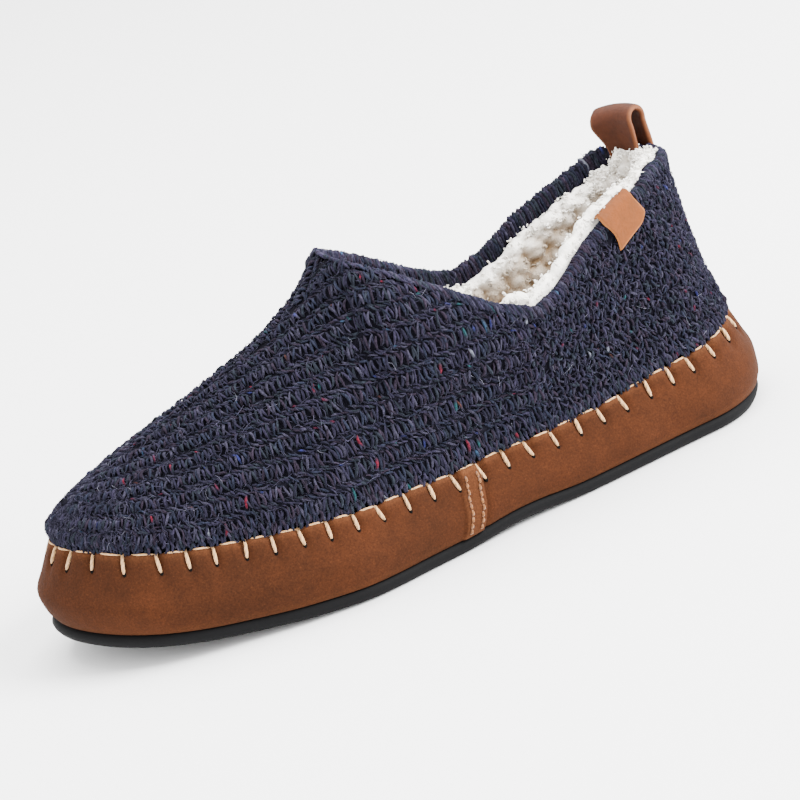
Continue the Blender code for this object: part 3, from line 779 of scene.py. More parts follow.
class SlipperColours(bpy.types.PropertyGroup):
    """Colours of the slipper's finishes."""
    suede: tone("Suede", "Main colour of the suede", srgb(58, 30, 15))
    suede_dark: tone("Dark suede", "Suede where its nap is brushed back", srgb(46, 24, 12))
    suede_light: tone("Rubbed suede", "Suede on rubbed edges and raised nap", srgb(92, 56, 34))
    navy: tone("Navy yarn", "Main colour of the wool", srgb(22, 21, 30))
    fleece: tone("Fleece", "Tips of the fleece", srgb(250, 246, 238))
    # Painted shade: the tan laid between the fleece's tufts and deep inside the shoe
    painted_fleece_shade: tone("Deep fleece", "Fleece between its tufts", srgb(134, 106, 68))
    cream: tone("Cream thread", "Blanket stitches", srgb(192, 150, 104))
    gold: tone("Gold thread", "Seam stitches", srgb(124, 78, 40))
    leather: tone("Brown leather", "Pull loop", srgb(50, 25, 15))
    hide: tone("Tan leather", "Side tab", srgb(92, 50, 19))
    sole: tone("Rubber", "Sole", srgb(11, 11, 12))
    floor: tone("Floor", "Studio floor", srgb(250, 250, 250))


def settings():
    """The sizes and colours of the scene."""
    return bpy.context.scene.slipper_sizes, bpy.context.scene.slipper_colours


# Sole and footbed

def sole_stack(rows, stations=360):
    """Grid of points from closed rings, each given as an inset function, a height function, a width."""
    angle = TURN * np.arange(stations) / stations
    share = share_of(angle)
    layers = []
    for inset, height, width in rows:
        edge = outline(angle, inset(share))
        middle = (edge + outline(TURN - angle, inset(share))) / 2
        plan = middle + width * (edge - middle)
        layers.append(at(plan, height(share, plan)))
    return np.stack(layers, 1)


def slab_faces(points):
    """Faces of a closed slab from its rings, with strips across the first and the last."""
    count, levels = points.shape[:2]
    i = np.arange(1, count // 2 - 1)
    strips = np.stack([i, i + 1, count - i - 1, count - i], -1) * levels
    return [grid_faces(count, levels, round_columns=True), strips[:, ::-1], strips + levels - 1]


# share of the sole's thickness, inset beyond the solid's own edge
SOLE_EDGE = ((0.06, -0.0004), (0.18, -0.0011), (0.40, -0.0015), (0.62, -0.0014), (0.80, -0.0007),
             (0.93, 0.0), (1.0, 0.0012), (1.0, 0.012))
# The tread's waves: from one to the next, how they sway, and the share of the width they reach
TREAD_PITCH = 0.0052
TREAD_SWAY_PITCH = 0.016
TREAD_SWAY = 0.35
TREAD_REACH = 0.88


class SLIPPER_OT_sole(bpy.types.Operator):
    """Build the rubber sole with a rounded edge and a waved tread"""
    bl_idname = "slipper.sole"
    bl_label = "Rubber sole"

    def execute(self, context):
        sizes, colours = settings()

        def side(part, extra):
            def inset(share):
                bevel = heel_bevel(share) * HEEL_BEVEL_HEIGHT
                return (OUTSOLE_BOTTOM_INSET + (OUTSOLE_TOP_INSET - OUTSOLE_BOTTOM_INSET) * part
                        + (1 - part) * bevel + extra)

            def height(share, plan):
                bevel = heel_bevel(share) * HEEL_BEVEL_HEIGHT
                return lift(share) + part * OUTSOLE_THICKNESS + (1 - part) * bevel
            return inset, height, 1.0

        def tread(width):
            def inset(share):
                return OUTSOLE_BOTTOM_INSET + heel_bevel(share) * HEEL_BEVEL_HEIGHT

            def height(share, plan):
                sway = TREAD_SWAY * np.sin(TURN * plan[..., 1] / TREAD_SWAY_PITCH)
                wave = np.sin(TURN * (plan[..., 0] / TREAD_PITCH + sway))
                groove = sizes.tread_depth * np.clip(wave * 2.2, 0, 1) * (width < TREAD_REACH)
                return lift(share) + heel_bevel(share) * HEEL_BEVEL_HEIGHT + groove
            return inset, height, width

        rows = [tread(w) for w in np.linspace(0.03, 0.90, 30)] + [tread(0.97)]
        rows += [side(part, extra) for part, extra in SOLE_EDGE]
        points = sole_stack(rows)
        sole = mesh_piece("sole", points, slab_faces(points), rubber_finish(colours))
        dress(sole, "sole_rubber", "outsole")
        return {"FINISHED"}


def tuft_field(points, spacing, seed):
    """Rounded tufts over a surface: 1 on their crowns, 0 between them."""
    rng = np.random.default_rng(seed)
    flat = points.reshape(-1, 3)
    low, high = flat.min(0), flat.max(0)
    counts = np.maximum(np.ceil((high - low) / spacing).astype(int), 1)
    cells = np.stack(np.meshgrid(*[np.arange(c) for c in counts], indexing="ij"), -1).reshape(-1, 3)
    seeds = low + (cells + rng.uniform(0.0, 1.0, cells.shape)) * spacing
    tree = tree_of(seeds)
    near = np.array([tree.find(p)[2] for p in flat])
    return np.clip(1 - (near / (0.80 * spacing)) ** 2, 0, 1).reshape(points.shape[:-1])


def curls(name, points, normals, seed, count, length, radius, tint, finish):
    """Loose curls of fibre standing on a surface."""
    rng = np.random.default_rng(seed)
    pick = rng.integers(0, len(points), count)
    root = points[pick] + rng.normal(0, 0.0004, (count, 3))
    normal = unit(normals[pick] + rng.normal(0, 0.35, (count, 3)))
    side = unit(np.cross(normal, rng.normal(0, 1, (count, 3))))
    other = np.cross(normal, side)
    t = np.linspace(0, 1, 6)[None, :, None]
    turn = rng.uniform(2.0, 5.0, (count, 1, 1)) * t
    reach = rng.uniform(0.6, 1.2, (count, 1, 1)) * length
    path = (root[:, None] + normal[:, None] * reach * 0.55 * np.sin(t * 2.2)
            + reach * 0.45 * (np.sin(turn) * side[:, None] + (1 - np.cos(turn)) * other[:, None]))
    radii = radius * rng.uniform(0.7, 1.2, (count, 1)) * (1.05 - 0.7 * t[..., 0] ** 2)
    shade = rng.uniform(0.82, 1.0, (count, 1, 1))
    tints = np.clip(np.broadcast_to(tint, (len(points), 3))[pick][:, None] * shade, 0, 1)
    group = (path, radii, unit(rng.normal(0, 1, (count, 3))), 3, tints)
    return tube_piece(name, [group], finish)


class SLIPPER_OT_footbed(bpy.types.Operator):
    """Build the padded footbed with its fleece top"""
    bl_idname = "slipper.footbed"
    bl_label = "Footbed"

    def execute(self, context):
        sizes, colours = settings()

        def wall(part):
            def height(share, plan):
                low, high = wrap_base(share), wrap_top(share)
                return np.minimum(low + part * (high - low), lift(share) + FOOTBED_HEIGHT)

            def inset(share):
                return wrap_inset(share, height(share, None)) + WRAP_WALL + GAP
            return inset, height, 1.0

        def top(width):
            def height(share, plan):
                cup = 0.0018 * blend(0.0, 0.6, 1 - width)
                return lift(share) + FOOTBED_HEIGHT - cup

            def inset(share):
                return wrap_inset(share, lift(share) + FOOTBED_HEIGHT) + WRAP_WALL + GAP
            return inset, height, width

        rows = [wall(p) for p in (0.0, 0.12, 0.24, 0.36)]
        rows += [top(w) for w in np.linspace(1.0, 0.03, 34)]
        points = sole_stack(rows, 300)
        tuft = tuft_field(points, sizes.tuft_size, 5)
        tuft[:, :5] = 0.5
        points[:, 5:, 2] += 0.0022 * tuft[:, 5:] - 0.0012
        # The tuft value drives painted shade in the fleece's colour: white on the crowns, tan between them
        values = {"tuft": 0.35 + 0.65 * tuft}
        bed = mesh_piece("footbed", points, slab_faces(points), fleece_finish(colours), values)
        dress(bed, "footbed_foam", "insole")
        return {"FINISHED"}


# Suede wrap and its stitches

EDGE_ANGLES = np.linspace(0, TURN, 2881)


def edge_points(angle):
    """Upper edge of the suede before the stitches pull it in."""
    share = share_of(angle)
    return at(outline(angle, WRAP_LEAN + toe_lean(share)), wrap_top(share))


EDGE_RUN = run_along(edge_points(EDGE_ANGLES))
# Where the blanket stitches of the lateral side stand, in metres along the edge from the heel
STITCHES_SEEN = 0.001 * np.array([
    2.5, 11.0, 19.9, 30.3, 40.3, 49.8, 58.9, 68.8, 79.1, 88.8, 98.4, 108.2, 118.0, 127.9, 137.8, 147.8,
    157.7, 167.7, 177.6, 187.3, 196.6, 205.7, 215.4, 225.0, 235.1, 243.8, 253.2, 265.6, 277.7, 288.3, 296.9,
])


def stitch_runs(pitch):
    """Places of all the blanket stitches along the edge: the medial ones are evenly spaced."""
    left = EDGE_RUN[-1] + STITCHES_SEEN[0] - STITCHES_SEEN[-1]
    count = max(round(left / pitch), 2)
    return np.concatenate([STITCHES_SEEN, STITCHES_SEEN[-1] + left * np.arange(1, count) / count])


def stitch_places(pitch):
    """Stations of the blanket stitches."""
    return np.interp(stitch_runs(pitch), EDGE_RUN, EDGE_ANGLES)


def stitch_pull(angle, pitch):
    """1 at a blanket stitch, 0 between two stitches."""
    run = np.interp(np.mod(angle, TURN), EDGE_ANGLES, EDGE_RUN)
    places = stitch_runs(pitch)
    order = np.arange(len(places) + 2) - 1
    places = np.concatenate([[places[-1] - EDGE_RUN[-1]], places, [places[0] + EDGE_RUN[-1]]])
    wave = 0.5 + 0.5 * np.cos(TURN * np.interp(run, places, order))
    return wave ** 3


# How far the suede goes in at a stitch, out between two stitches, and up and down by chance
STITCH_DENT = 0.0009
SUEDE_PUFF = 0.0005
SUEDE_WAVE = 0.00035
# Share of the wrap's height where its upper edge starts to fold inward
EDGE_SHARE = 0.985


def suede_point(angle, part, sizes, depth=0.0, raised=0.0):
    """Outer face of the suede at a share of its height: puffy, and pulled in at its stitches."""
    share = share_of(angle)
    low, high = wrap_base(share), wrap_top(share)
    run = np.interp(np.mod(angle, TURN), EDGE_ANGLES, EDGE_RUN)
    pull = stitch_pull(angle, sizes.stitch_pitch)
    near = blend(0.70, 1.0, part)
    height = low + part * (high - low) - sizes.scallop * pull * near
    height = height + SUEDE_WAVE * wobble(run, 0.0, 3, 0.03) * near
    inset = (WRAP_LEAN + toe_lean(share)) * along(WRAP_SECTION, 1, part)
    inset = inset + STITCH_DENT * pull * blend(0.62, 0.92, part)
    inset = inset - SUEDE_PUFF * (1 - pull) * blend(0.55, 0.9, part)
    inset = inset - SUEDE_WAVE * wobble(run, height, 8, 0.022) * blend(0.0, 0.2, part)
    return at(outline(angle, inset + depth - raised), height)


def seam_angle(part, ahead):
    """Station of the lateral seam at a share of the wrap's height, moved toward the toe."""
    return station_at(SEAM_PLACE - SEAM_LEAN * part + ahead)


def wrap_mesh(name, start, end, columns, raise_at, sizes, finish):
    """A stretch of the suede with a folded upper edge, between two seam functions."""
    parts = np.concatenate([np.linspace(0.0, 0.93, 17), [0.97]])
    u = np.linspace(0, 1, columns)[:, None]
    top = np.radians(np.linspace(15, 165, 6))
    section = [(p, 0.0, 0.0) for p in parts]
    section += [(1.0, WRAP_WALL / 2 * (1 - math.cos(t)), WRAP_WALL / 2 * math.sin(t)) for t in top]
    section += [(p, WRAP_WALL, 0.0) for p in (0.93, 0.6, 0.36, 0.16, 0.0)]
    rings = []
    for part, depth, rise in section:
        angle = start(part) + u * (end(part) - start(part))
        raised = raise_at(angle, part) * (depth < WRAP_WALL)
        point = suede_point(angle, min(part, EDGE_SHARE), sizes, depth, raised)
        point[..., 2] += rise
        rings.append(point[:, 0])
    points = np.stack(rings, 1)
    levels = len(section)
    shares = np.array([row[0] for row in section])
    angle = start(shares) + u * (end(shares) - start(shares))
    rub = 0.45 * blend(0.90, 1.0, shares) + 0.25 * (1 - blend(0.0, 0.12, shares))
    rub = rub + 0.35 * blend(0.0006, 0.001, raise_at(angle, shares))
    i = np.arange(levels // 2 - 1)
    caps = [base + np.stack([i, i + 1, levels - 2 - i, levels - 1 - i], -1)
            for base in (0, (columns - 1) * levels)]
    caps[0] = caps[0][:, ::-1]
    faces = [grid_faces(columns, levels, round_rows=True)] + caps
    return mesh_piece(name, points, faces, finish, values={"rub": np.clip(rub, 0, 1)})


class SLIPPER_OT_wrap(bpy.types.Operator):
    """Build the two suede pieces of the wrap, the front one lapped over the heel one"""
    bl_idname = "slipper.wrap"
    bl_label = "Suede wrap"

    def execute(self, context):
        sizes, colours = settings()
        finish = suede_finish(colours)

        def ahead_of_seam(angle, part):
            lateral = np.where(angle > math.pi, TURN - angle, angle)
            distance = share_of(lateral) * LENGTH
            return distance - (SEAM_PLACE - SEAM_LEAN * part)

        def lap_height(angle, part):
            ahead = ahead_of_seam(angle, part)
            fold = np.sqrt(np.clip(1 - (1 - np.clip(ahead / 0.0012, 0, 1)) ** 2, 0, 1))
            over = (1 - blend(LAP_WIDTH - 0.0012, LAP_WIDTH + 0.0004, ahead)) * (ahead > -0.0004)
            return LAP_STEP * (0.15 + 0.85 * fold) * over

        def dip(angle, part):
            return -0.0006 * np.exp(-(ahead_of_seam(angle, part) / 0.0016) ** 2)

        front = wrap_mesh("suede_front", lambda p: seam_angle(p, 0.0),
                          lambda p: TURN - seam_angle(p, 0.0), 760, lap_height, sizes, finish)
        heel = wrap_mesh("suede_heel", lambda p: -seam_angle(p, 0.0002),
                         lambda p: seam_angle(p, 0.0002), 560, dip, sizes, finish)
        dress(front, "suede", "front_wrap")
        dress(heel, "suede", "heel_wrap")
        return {"FINISHED"}


# share of a stitch's length below the edge, height over the suede
STITCH_ON_FACE = ((1.00, -0.0004), (0.93, 0.0004), (0.75, 0.0007), (0.5, 0.0008), (0.25, 0.0008),
                  (0.05, 0.0007))
# depth behind the suede's face, rise over its edge
STITCH_OVER_EDGE = ((0.0002, 0.0009), (0.0014, 0.0012), (0.0024, 0.0004))
STITCH_THICKNESS = (0.35, 0.70, 1.0, 1.12, 1.08, 0.98, 0.88, 0.8, 0.5)
HOLE_REACH = 0.00095
HOLE_RADIUS = 0.00074
HOLE_SHADE = 0.004


class SLIPPER_OT_blanket_stitches(bpy.types.Operator):
    """Sew the cream blanket stitches over the edge of the suede"""
    bl_idname = "slipper.blanket_stitches"
    bl_label = "Blanket stitches"

    def execute(self, context):
        sizes, colours = settings()
        rng = np.random.default_rng(21)
        angle = stitch_places(sizes.stitch_pitch)
        share = share_of(angle)
        count = len(angle)
        tall = wrap_top(share) - wrap_base(share)
        step_angle = np.append(np.diff(angle), TURN - angle[-1] + angle[0])
        slant = rng.uniform(-0.04, 0.05, count) * step_angle
        length = sizes.stitch_length * rng.uniform(0.92, 1.06, count)
        paths = []
        for drop, off in STITCH_ON_FACE:
            part = 1 - drop * length / tall
            turn = angle + slant * (1 - drop) * 2
            paths.append(suede_point(turn, np.minimum(part, EDGE_SHARE), sizes, -off))
        for depth, rise in STITCH_OVER_EDGE:
            point = suede_point(angle + slant * 2, EDGE_SHARE, sizes, depth)
            point[..., 2] += rise
            paths.append(point)
        paths = np.stack(paths, 1)
        radii = sizes.stitch_radius * np.array(STITCH_THICKNESS) * rng.uniform(0.92, 1.08, (count, 1))
        reference = unit(np.gradient(edge_points(angle), axis=0))
        tint = np.array(colours.cream)[None, None] * rng.uniform(0.93, 1.05, (count, 1, 1))
        upright = (paths, radii, reference, 10, tint)

        steps = np.linspace(0.0, 1.0, 15)
        runs = []
        for s in steps:
            turn = angle + step_angle * s
            bow = math.sin(math.pi * min(s / 0.75, 1.0))
            point = suede_point(turn, EDGE_SHARE, sizes, 0.0012 - 0.0009 * bow)
            point[..., 2] += 0.0006 + 0.0004 * bow - 0.0011 * blend(0.72, 0.95, s)
            runs.append(point)
        runs = np.stack(runs, 1)
        thin = sizes.stitch_radius * 0.60 * (0.85 + 0.15 * np.sin(math.pi * steps))[None]
        edge = (runs, thin, UPWARD[None], 8, tint)
        finish = thread_finish("cream_thread", 2.0, 0.45)
        dress(tube_piece("blanket_stitches", [upright, edge], finish), None)

        hole = suede_point(angle, 1 - 1.03 * length / tall, sizes, 0.00015)
        above, below = (suede_point(angle, 1 - drop * length / tall, sizes) for drop in (0.9, 1.1))
        t = np.linspace(-1, 1, 6)
        holes = hole[:, None] + unit(above - below)[:, None] * (t * HOLE_REACH)[None, :, None]
        radii = HOLE_RADIUS * np.sqrt(np.maximum(1 - t ** 2, 0.02))[None]
        group = (holes, radii, at(outward(angle), 0.0), 8, np.full((count, 1, 3), HOLE_SHADE))
        dress(tube_piece("stitch_holes", [group], thread_finish("hole_shade", 1.0, 0.0, 0.0)), None)
        return {"FINISHED"}


# Distances of the two rows ahead of the seam, stitches in a row, and the thread's radius
SEAM_ROWS = (0.0022, 0.0066)
SEAM_STITCHES = 9
SEAM_RADIUS = 0.00050


class SLIPPER_OT_seam_stitches(bpy.types.Operator):
    """Sew two rows of gold stitches through the lapped seam at each side"""
    bl_idname = "slipper.seam_stitches"
    bl_label = "Seam stitches"

    def execute(self, context):
        sizes, colours = settings()
        rng = np.random.default_rng(4)
        t = np.linspace(0, 1, 7)
        paths = []
        for back in (False, True):
            for ahead in SEAM_ROWS:
                for k in range(SEAM_STITCHES):
                    parts = 0.05 + 0.098 * (k + 0.08 + 0.84 * t)
                    angle = seam_angle(parts, ahead + rng.uniform(-0.0002, 0.0002))
                    angle = TURN - angle if back else angle
                    depth = 0.0001 - 0.00045 * np.sin(math.pi * t) ** 0.6
                    paths.append(suede_point(angle, parts, sizes, depth, LAP_STEP))
        paths = np.stack(paths)
        radii = SEAM_RADIUS * np.sqrt(np.sin(math.pi * (t * 0.9 + 0.05)))[None]
        out = unit(paths[:, 3] * np.array([0.0, 1.0, 0.0]))
        tint = np.array(colours.gold)[None, None] * rng.uniform(0.85, 1.1, (len(paths), 1, 1))
        finish = thread_finish("gold_thread", 2.0, 0.8)
        dress(tube_piece("seam_stitches", [(paths, radii, out, 8, tint)], finish), None)
        return {"FINISHED"}


# Knit upper

TWEED = np.array([
    srgb(26, 24, 36), srgb(22, 21, 31), srgb(31, 28, 41), srgb(25, 27, 38), srgb(30, 24, 33),
    srgb(25, 28, 34), srgb(38, 36, 47),
])
FLECKS = np.array([
    srgb(76, 18, 30), srgb(58, 18, 32), srgb(30, 32, 70), srgb(20, 50, 53), srgb(50, 28, 22),
    srgb(84, 86, 96), srgb(36, 54, 74),
])
FLECK_SHARES = np.array([0.25, 0.17, 0.25, 0.13, 0.08, 0.03, 0.09])
# How far below the collar's edge and below the ridge the stitches end
RIM_MARGIN = 0.0022
RIDGE_MARGIN = 0.0006
# Shares where the ribs start and where the rear rows end, and how many of each there are
RIB_START = 0.345
REAR_END = 0.360
RIB_COUNT = 16
REAR_COUNT = 46
# Strands in the valley between two ribs, as shares of the ribs' pitch
RIDGE_PLACES = (0.72, 0.84, 0.96)
GROUND_TURNS = 300
GROUND_ROWS = 44
RIM_STEPS = 7
# spacing of the strands, slant, radius, drop outside and phase of the two layers of the rolled edge
RIM_LAYERS = ((0.00115, 0.0030, 0.00054, 0.0022, 0.0), (0.00150, 0.0022, 0.00048, 0.0034, 0.5))


def knit_row(angles, distance):
    """Stretches of one knit row: lengths along it, points, directions along it and normals."""
    room = WALL.total(angles)
    margin = np.where(share_of(angles) < PEAK_SHARE, RIM_MARGIN, RIDGE_MARGIN)
    inside = distance < room - margin
    stretches = []
    edges = np.flatnonzero(np.diff(np.concatenate([[0], inside.astype(int), [0]])))
    for first, last in zip(edges[::2], edges[1::2]):
        if last - first < 4:
            continue
        a = angles[first:last]
        reach = distance[first:last]
        v = WALL.v_at(a, np.maximum(reach, 0))
        points = WALL.sample(WALL.points, a, v) + np.minimum(reach, 0)[:, None] * UPWARD
        normals = unit(WALL.sample(WALL.normals, a, v))
        run = run_along(points)
        if run[-1] > 0.004:
            stretches.append((run, points, unit(np.gradient(points, axis=0)), normals))
    return stretches


def along_row(stretch, spacing, offset):
    """Evenly spaced frames along a stretch of a row."""
    run, points, tangents, normals = stretch
    marks = np.arange(offset, run[-1] - spacing * 0.2, spacing)
    points, tangents, normals = (points_at(marks, run, grid) for grid in (points, tangents, normals))
    return points, unit(tangents), unit(normals)


def yarn_tints(rng, count, steps, flecked):
    """Tweed colours for stitches: navy with flecks that cover part of a stitch."""
    base = TWEED[rng.integers(0, len(TWEED), count)] * rng.uniform(0.72, 1.22, (count, 1))
    tint = np.repeat(base[:, None], steps, 1)
    hit = rng.uniform(size=count) < flecked
    colour = FLECKS[rng.choice(len(FLECKS), count, p=FLECK_SHARES)]
    t = np.linspace(0, 1, steps)[None]
    off = np.abs(t - rng.uniform(0.2, 0.8, (count, 1)))
    cover = np.clip(1.4 - off / rng.uniform(0.16, 0.42, (count, 1)), 0, 1)
    cover = (cover * hit[:, None])[..., None]
    return tint * (1 - cover) + colour[:, None] * cover


def yarn_strokes(rng, centre, run, normal, length, lean, radius, height, bulge, flecked, steps):
    """Short stretches of yarn lying on the wall, each leaning by its own angle from the way up."""
    count = len(centre)
    up = np.cross(run, normal)
    lean = lean[:, None]
    direction = np.cos(lean) * up + np.sin(lean) * run
    across = np.cos(lean) * run - np.sin(lean) * up
    t = np.linspace(-1, 1, steps)
    middle = (1 - t ** 2)[None, :, None]
    bow = rng.normal(0, 0.00022, (count, 1, 1))
    path = (centre[:, None] + direction[:, None] * t[None, :, None] * length[:, None, None] / 2
            + across[:, None] * bow * middle * 2
            + normal[:, None] * (height[:, None, None] + bulge * middle))
    radii = radius[:, None] * (0.34 + 0.72 * np.sqrt(1 - 0.92 * t ** 2))[None]
    return path, radii, unit(normal + 0.6 * across), 4, yarn_tints(rng, count, steps, flecked)


def under_leather(angle, drop):
    """Where the loop and the tab cover the wall: knit there is hidden and stays flat."""
    tab = station_at(TAB_PLACE)
    loop = TURN - station_at(LOOP_PLACE / 2)
    turn = np.mod(angle, TURN)
    beside_loop = np.minimum(np.abs(turn - loop), TURN - np.abs(turn - loop))
    tab_half = collar_angles(tab, TAB_WIDTH, 2)
    loop_half = collar_angles(loop, LOOP_WIDTH, 2)
    near_tab = (np.abs(turn - tab) < (tab_half[1] - tab_half[0]) * 0.48) & (drop < TAB_OUTER_LEG * 0.9)
    near_loop = (beside_loop < (loop_half[1] - loop_half[0]) * 0.48) & (drop < LOOP_OUTER_LEG)
    return near_tab | near_loop


def stitch_kind(jolt, lean, length, radius, height, bulge, flecked, squeeze=None):
    """A function that draws stitches of one kind by chance: lean in degrees is (steady, to and fro,
    spread), length and radius are (usual, least share, greatest share), height is (middle, spread)."""
    def drawn(rng, centre):
        count = len(centre)
        ways = np.where(np.arange(count) % 2 == 0, 1.0, -1.0)
        usual = length[0] * (squeeze(centre) if squeeze else 1.0)
        return (jolt, np.radians(lean[0] + lean[1] * ways + rng.normal(0, lean[2], count)),
                usual * rng.uniform(*length[1:], count), radius[0] * rng.uniform(*radius[1:], count),
                rng.normal(*height, count), bulge, flecked)
    return drawn


def row_strokes(rng, angles, distance, spacing, kind, steps=5):
    """Stitches of one kind along one row."""
    groups = []
    for stretch in knit_row(angles, distance):
        centre, run, normal = along_row(stretch, spacing, rng.uniform(0.0, 0.001))
        near = np.array([WALL_TREE.find(c)[1] for c in centre], int)
        turn, row = near // (WALL.rows + 1), near % (WALL.rows + 1)
        station = turn * TURN / WALL.turns
        top = WALL.climb[turn, -1] - WALL.climb[turn, row]
        clear = ~(under_leather(station, top) & (share_of(station) < NOTCH_SHARE))
        centre, run, normal = centre[clear], run[clear], normal[clear]
        count = len(centre)
        if not count:
            continue
        jolt, lean, length, radius, height, bulge, flecked = kind(rng, centre)
        centre = centre + run * rng.normal(0, jolt, (count, 1))
        centre = centre + np.cross(run, normal) * rng.normal(0, jolt * 1.1, (count, 1))
        groups.append(yarn_strokes(rng, centre, run, normal, length, lean, radius, height, bulge,
                                   flecked, steps))
    return groups


def rib_rows(sizes, bands, steps):
    """Groups of stitches of the ribbed front, at bands given as (share of the pitch, spacing, kind)."""
    rng = np.random.default_rng(11 + len(bands))
    groups = []
    start = angle_at(RIB_START)
    angles = np.linspace(start, TURN - start, 1400)
    share = share_of(angles)
    pitch = sizes.rib_pitch + (sizes.rib_pitch_toe - sizes.rib_pitch) * blend(0.62, 1.0, share)
    for n in range(RIB_COUNT):
        sway = 0.0005 * wobble(angles * 0.06, 0.0, 30 + n, 0.02)
        for at_share, spacing, kind in bands:
            groups += row_strokes(rng, angles, pitch * (n + at_share) + sway, spacing, kind, steps)
    return groups


def toe_squeeze(sizes, centre):
    """How much shorter the stitches are toward the toe."""
    return np.interp(centre[:, 0], [-LENGTH / 2, -0.02], [sizes.rib_pitch_toe / sizes.rib_pitch, 1.0])


def front_uprights(sizes):
    """The upright stitches of each rib."""
    upright = stitch_kind(0.00025, (3, 12, 7), (sizes.rib_pitch * 0.66, 0.75, 1.15),
                          (sizes.yarn_radius, 0.72, 1.2), (-0.00035, 0.00020), 0.0008, 0.022,
                          lambda centre: toe_squeeze(sizes, centre))
    return rib_rows(sizes, [(0.34, 0.00104, upright)], 5)


def front_ridges(sizes):
    """The fuzzy strands that lie along the valley between two ribs."""
    ridge = stitch_kind(0.00030, (62, 0, 16), (0.0033, 0.7, 1.25), (sizes.yarn_radius * 0.84, 0.7, 1.2),
                        (-0.00075, 0.00022), 0.0004, 0.02)
    return rib_rows(sizes, [(share, 0.00185, ridge) for share in RIDGE_PLACES], 4)


def rear_rows(sizes):
    """Groups of stitches of the closer, less even knit behind the notch."""
    rng = np.random.default_rng(12)
    groups = []
    angles = np.linspace(-angle_at(REAR_END), angle_at(REAR_END), 900)
    uneven = stitch_kind(0.00035, (0, 24, 18), (0.0031, 0.7, 1.25), (sizes.yarn_radius * 0.88, 0.7, 1.2),
                         (-0.00045, 0.00025), 0.0006, 0.022)
    for n in range(REAR_COUNT):
        distance = sizes.rear_pitch * (n + 0.3) + 0.0004 * wobble(angles * 0.06, 0.0, 60 + n, 0.015)
        groups += row_strokes(rng, angles, distance, 0.00120, uneven)
    return groups


def tucked_rows(sizes):
    """Groups of stitches that go down behind the edge of the suede."""
    rng = np.random.default_rng(14)
    groups = []
    whole = np.linspace(0, TURN, 1800)
    tucked = stitch_kind(0.0002, (0, 12, 10), (0.0034, 0.85, 1.1), (sizes.yarn_radius, 0.8, 1.2),
                         (-0.0003, 0.00015), 0.0003, 0.02)
    for low in (-0.0002, -0.0018):
        groups += row_strokes(rng, whole, np.full_like(whole, low), 0.00115, tucked)
    return groups


def rim_section(angle, t, sizes, outer_drop, inner_drop):
    """Point on the rolled edge at a station: t is 0 low outside, 1 low inside."""
    top = top_point(angle)
    v = WALL.v_at(angle, WALL.total(angle) - 0.003)
    normal = unit(WALL.sample(WALL.normals, angle, v))
    up = unit(top - WALL.sample(WALL.points, angle, v))
    far = np.where(side_of(angle) > 0, blend(0.0, 0.05, share_of(angle)), 0.0)
    radius = sizes.rim_radius * (0.62 + 0.38 * far)
    behind = KNIT_WALL * (0.30 + 0.20 * far)
    middle = top - normal * behind[:, None] - up * (radius * 0.85)[:, None]
    arc = math.pi * radius
    total = outer_drop + arc + inner_drop
    run = t * total
    turn = np.clip((run - outer_drop) / radius, 0, math.pi)
    below = np.maximum(outer_drop - run, 0) + np.maximum(run - outer_drop - arc, 0)
    return (middle + (radius * np.cos(turn))[:, None] * normal + (radius * np.sin(turn))[:, None] * up
            - below[:, None] * up)


def rim_inner_drop(angle):
    """How far the rolled edge comes down inside: further on the medial side."""
    share = share_of(angle)
    medial = np.where(side_of(angle) > 0, blend(0.0, 0.06, share), 0.0)
    return 0.0004 + 0.0050 * medial * (1 - blend(0.50, 0.56, share))


def collar_run(spacing):
    """Stations evenly spaced along the collar, from the throat's peak round the heel to it again."""
    peak = angle_at(PEAK_SHARE) - 1e-4
    angles = np.linspace(-peak, peak, 2400)
    run = run_along(top_point(angles))
    count = int(run[-1] / spacing)
    return np.interp((np.arange(count) + 0.5) * run[-1] / count, run, angles)


def rim_strands(sizes):
    """Groups of the short strands that lie over the rolled edge in two layers."""
    rng = np.random.default_rng(13)
    groups = []
    t = np.linspace(0, 1, RIM_STEPS)
    peak = angle_at(PEAK_SHARE) - 1e-3
    for spacing, slant, radius, outer_drop, phase in RIM_LAYERS:
        centre = collar_run(spacing)
        count = len(centre)
        centre = centre + (centre[1] - centre[0]) * phase
        speed = np.gradient(centre) / spacing
        waves = TURN * spacing * np.arange(count) / 0.0040
        bump = 0.5 + 0.5 * np.sin(waves + rng.normal(0, 0.5, count))
        path = []
        for value in t:
            station = np.clip(centre + speed * slant * (value - 0.5), -peak, peak)
            point = rim_section(station, value, sizes, outer_drop, rim_inner_drop(centre))
            flat = under_leather(station, 0.0) * 0.0011 - 0.00045 * bump
            path.append(point - flat[:, None] * at(outward(station), 0.3))
        path = np.stack(path, 1) + rng.normal(0, 0.00020, (count, RIM_STEPS, 3))
        after = np.clip(centre + 0.004, -peak, peak + 0.01)
        reference = unit(top_point(after) - top_point(centre - 0.004))
        thick = rng.uniform(0.75, 1.1, (count, 1)) + 0.25 * bump[:, None]
        radii = radius * thick * (0.45 + 0.6 * np.sqrt(np.sin(math.pi * (t * 0.94 + 0.03))))[None]
        # Painted highlight: the rolled edge's strands ahead of the notch, toward the throat, are made paler,
        # the first layer most
        paler_tone = 1 + 0.55 * (1 - phase) * blend(0.33, 0.42, share_of(centre))
        tint = yarn_tints(rng, count, RIM_STEPS, 0.014) * paler_tone[:, None, None]
        groups.append((path, radii, reference, 5, tint))
    return groups


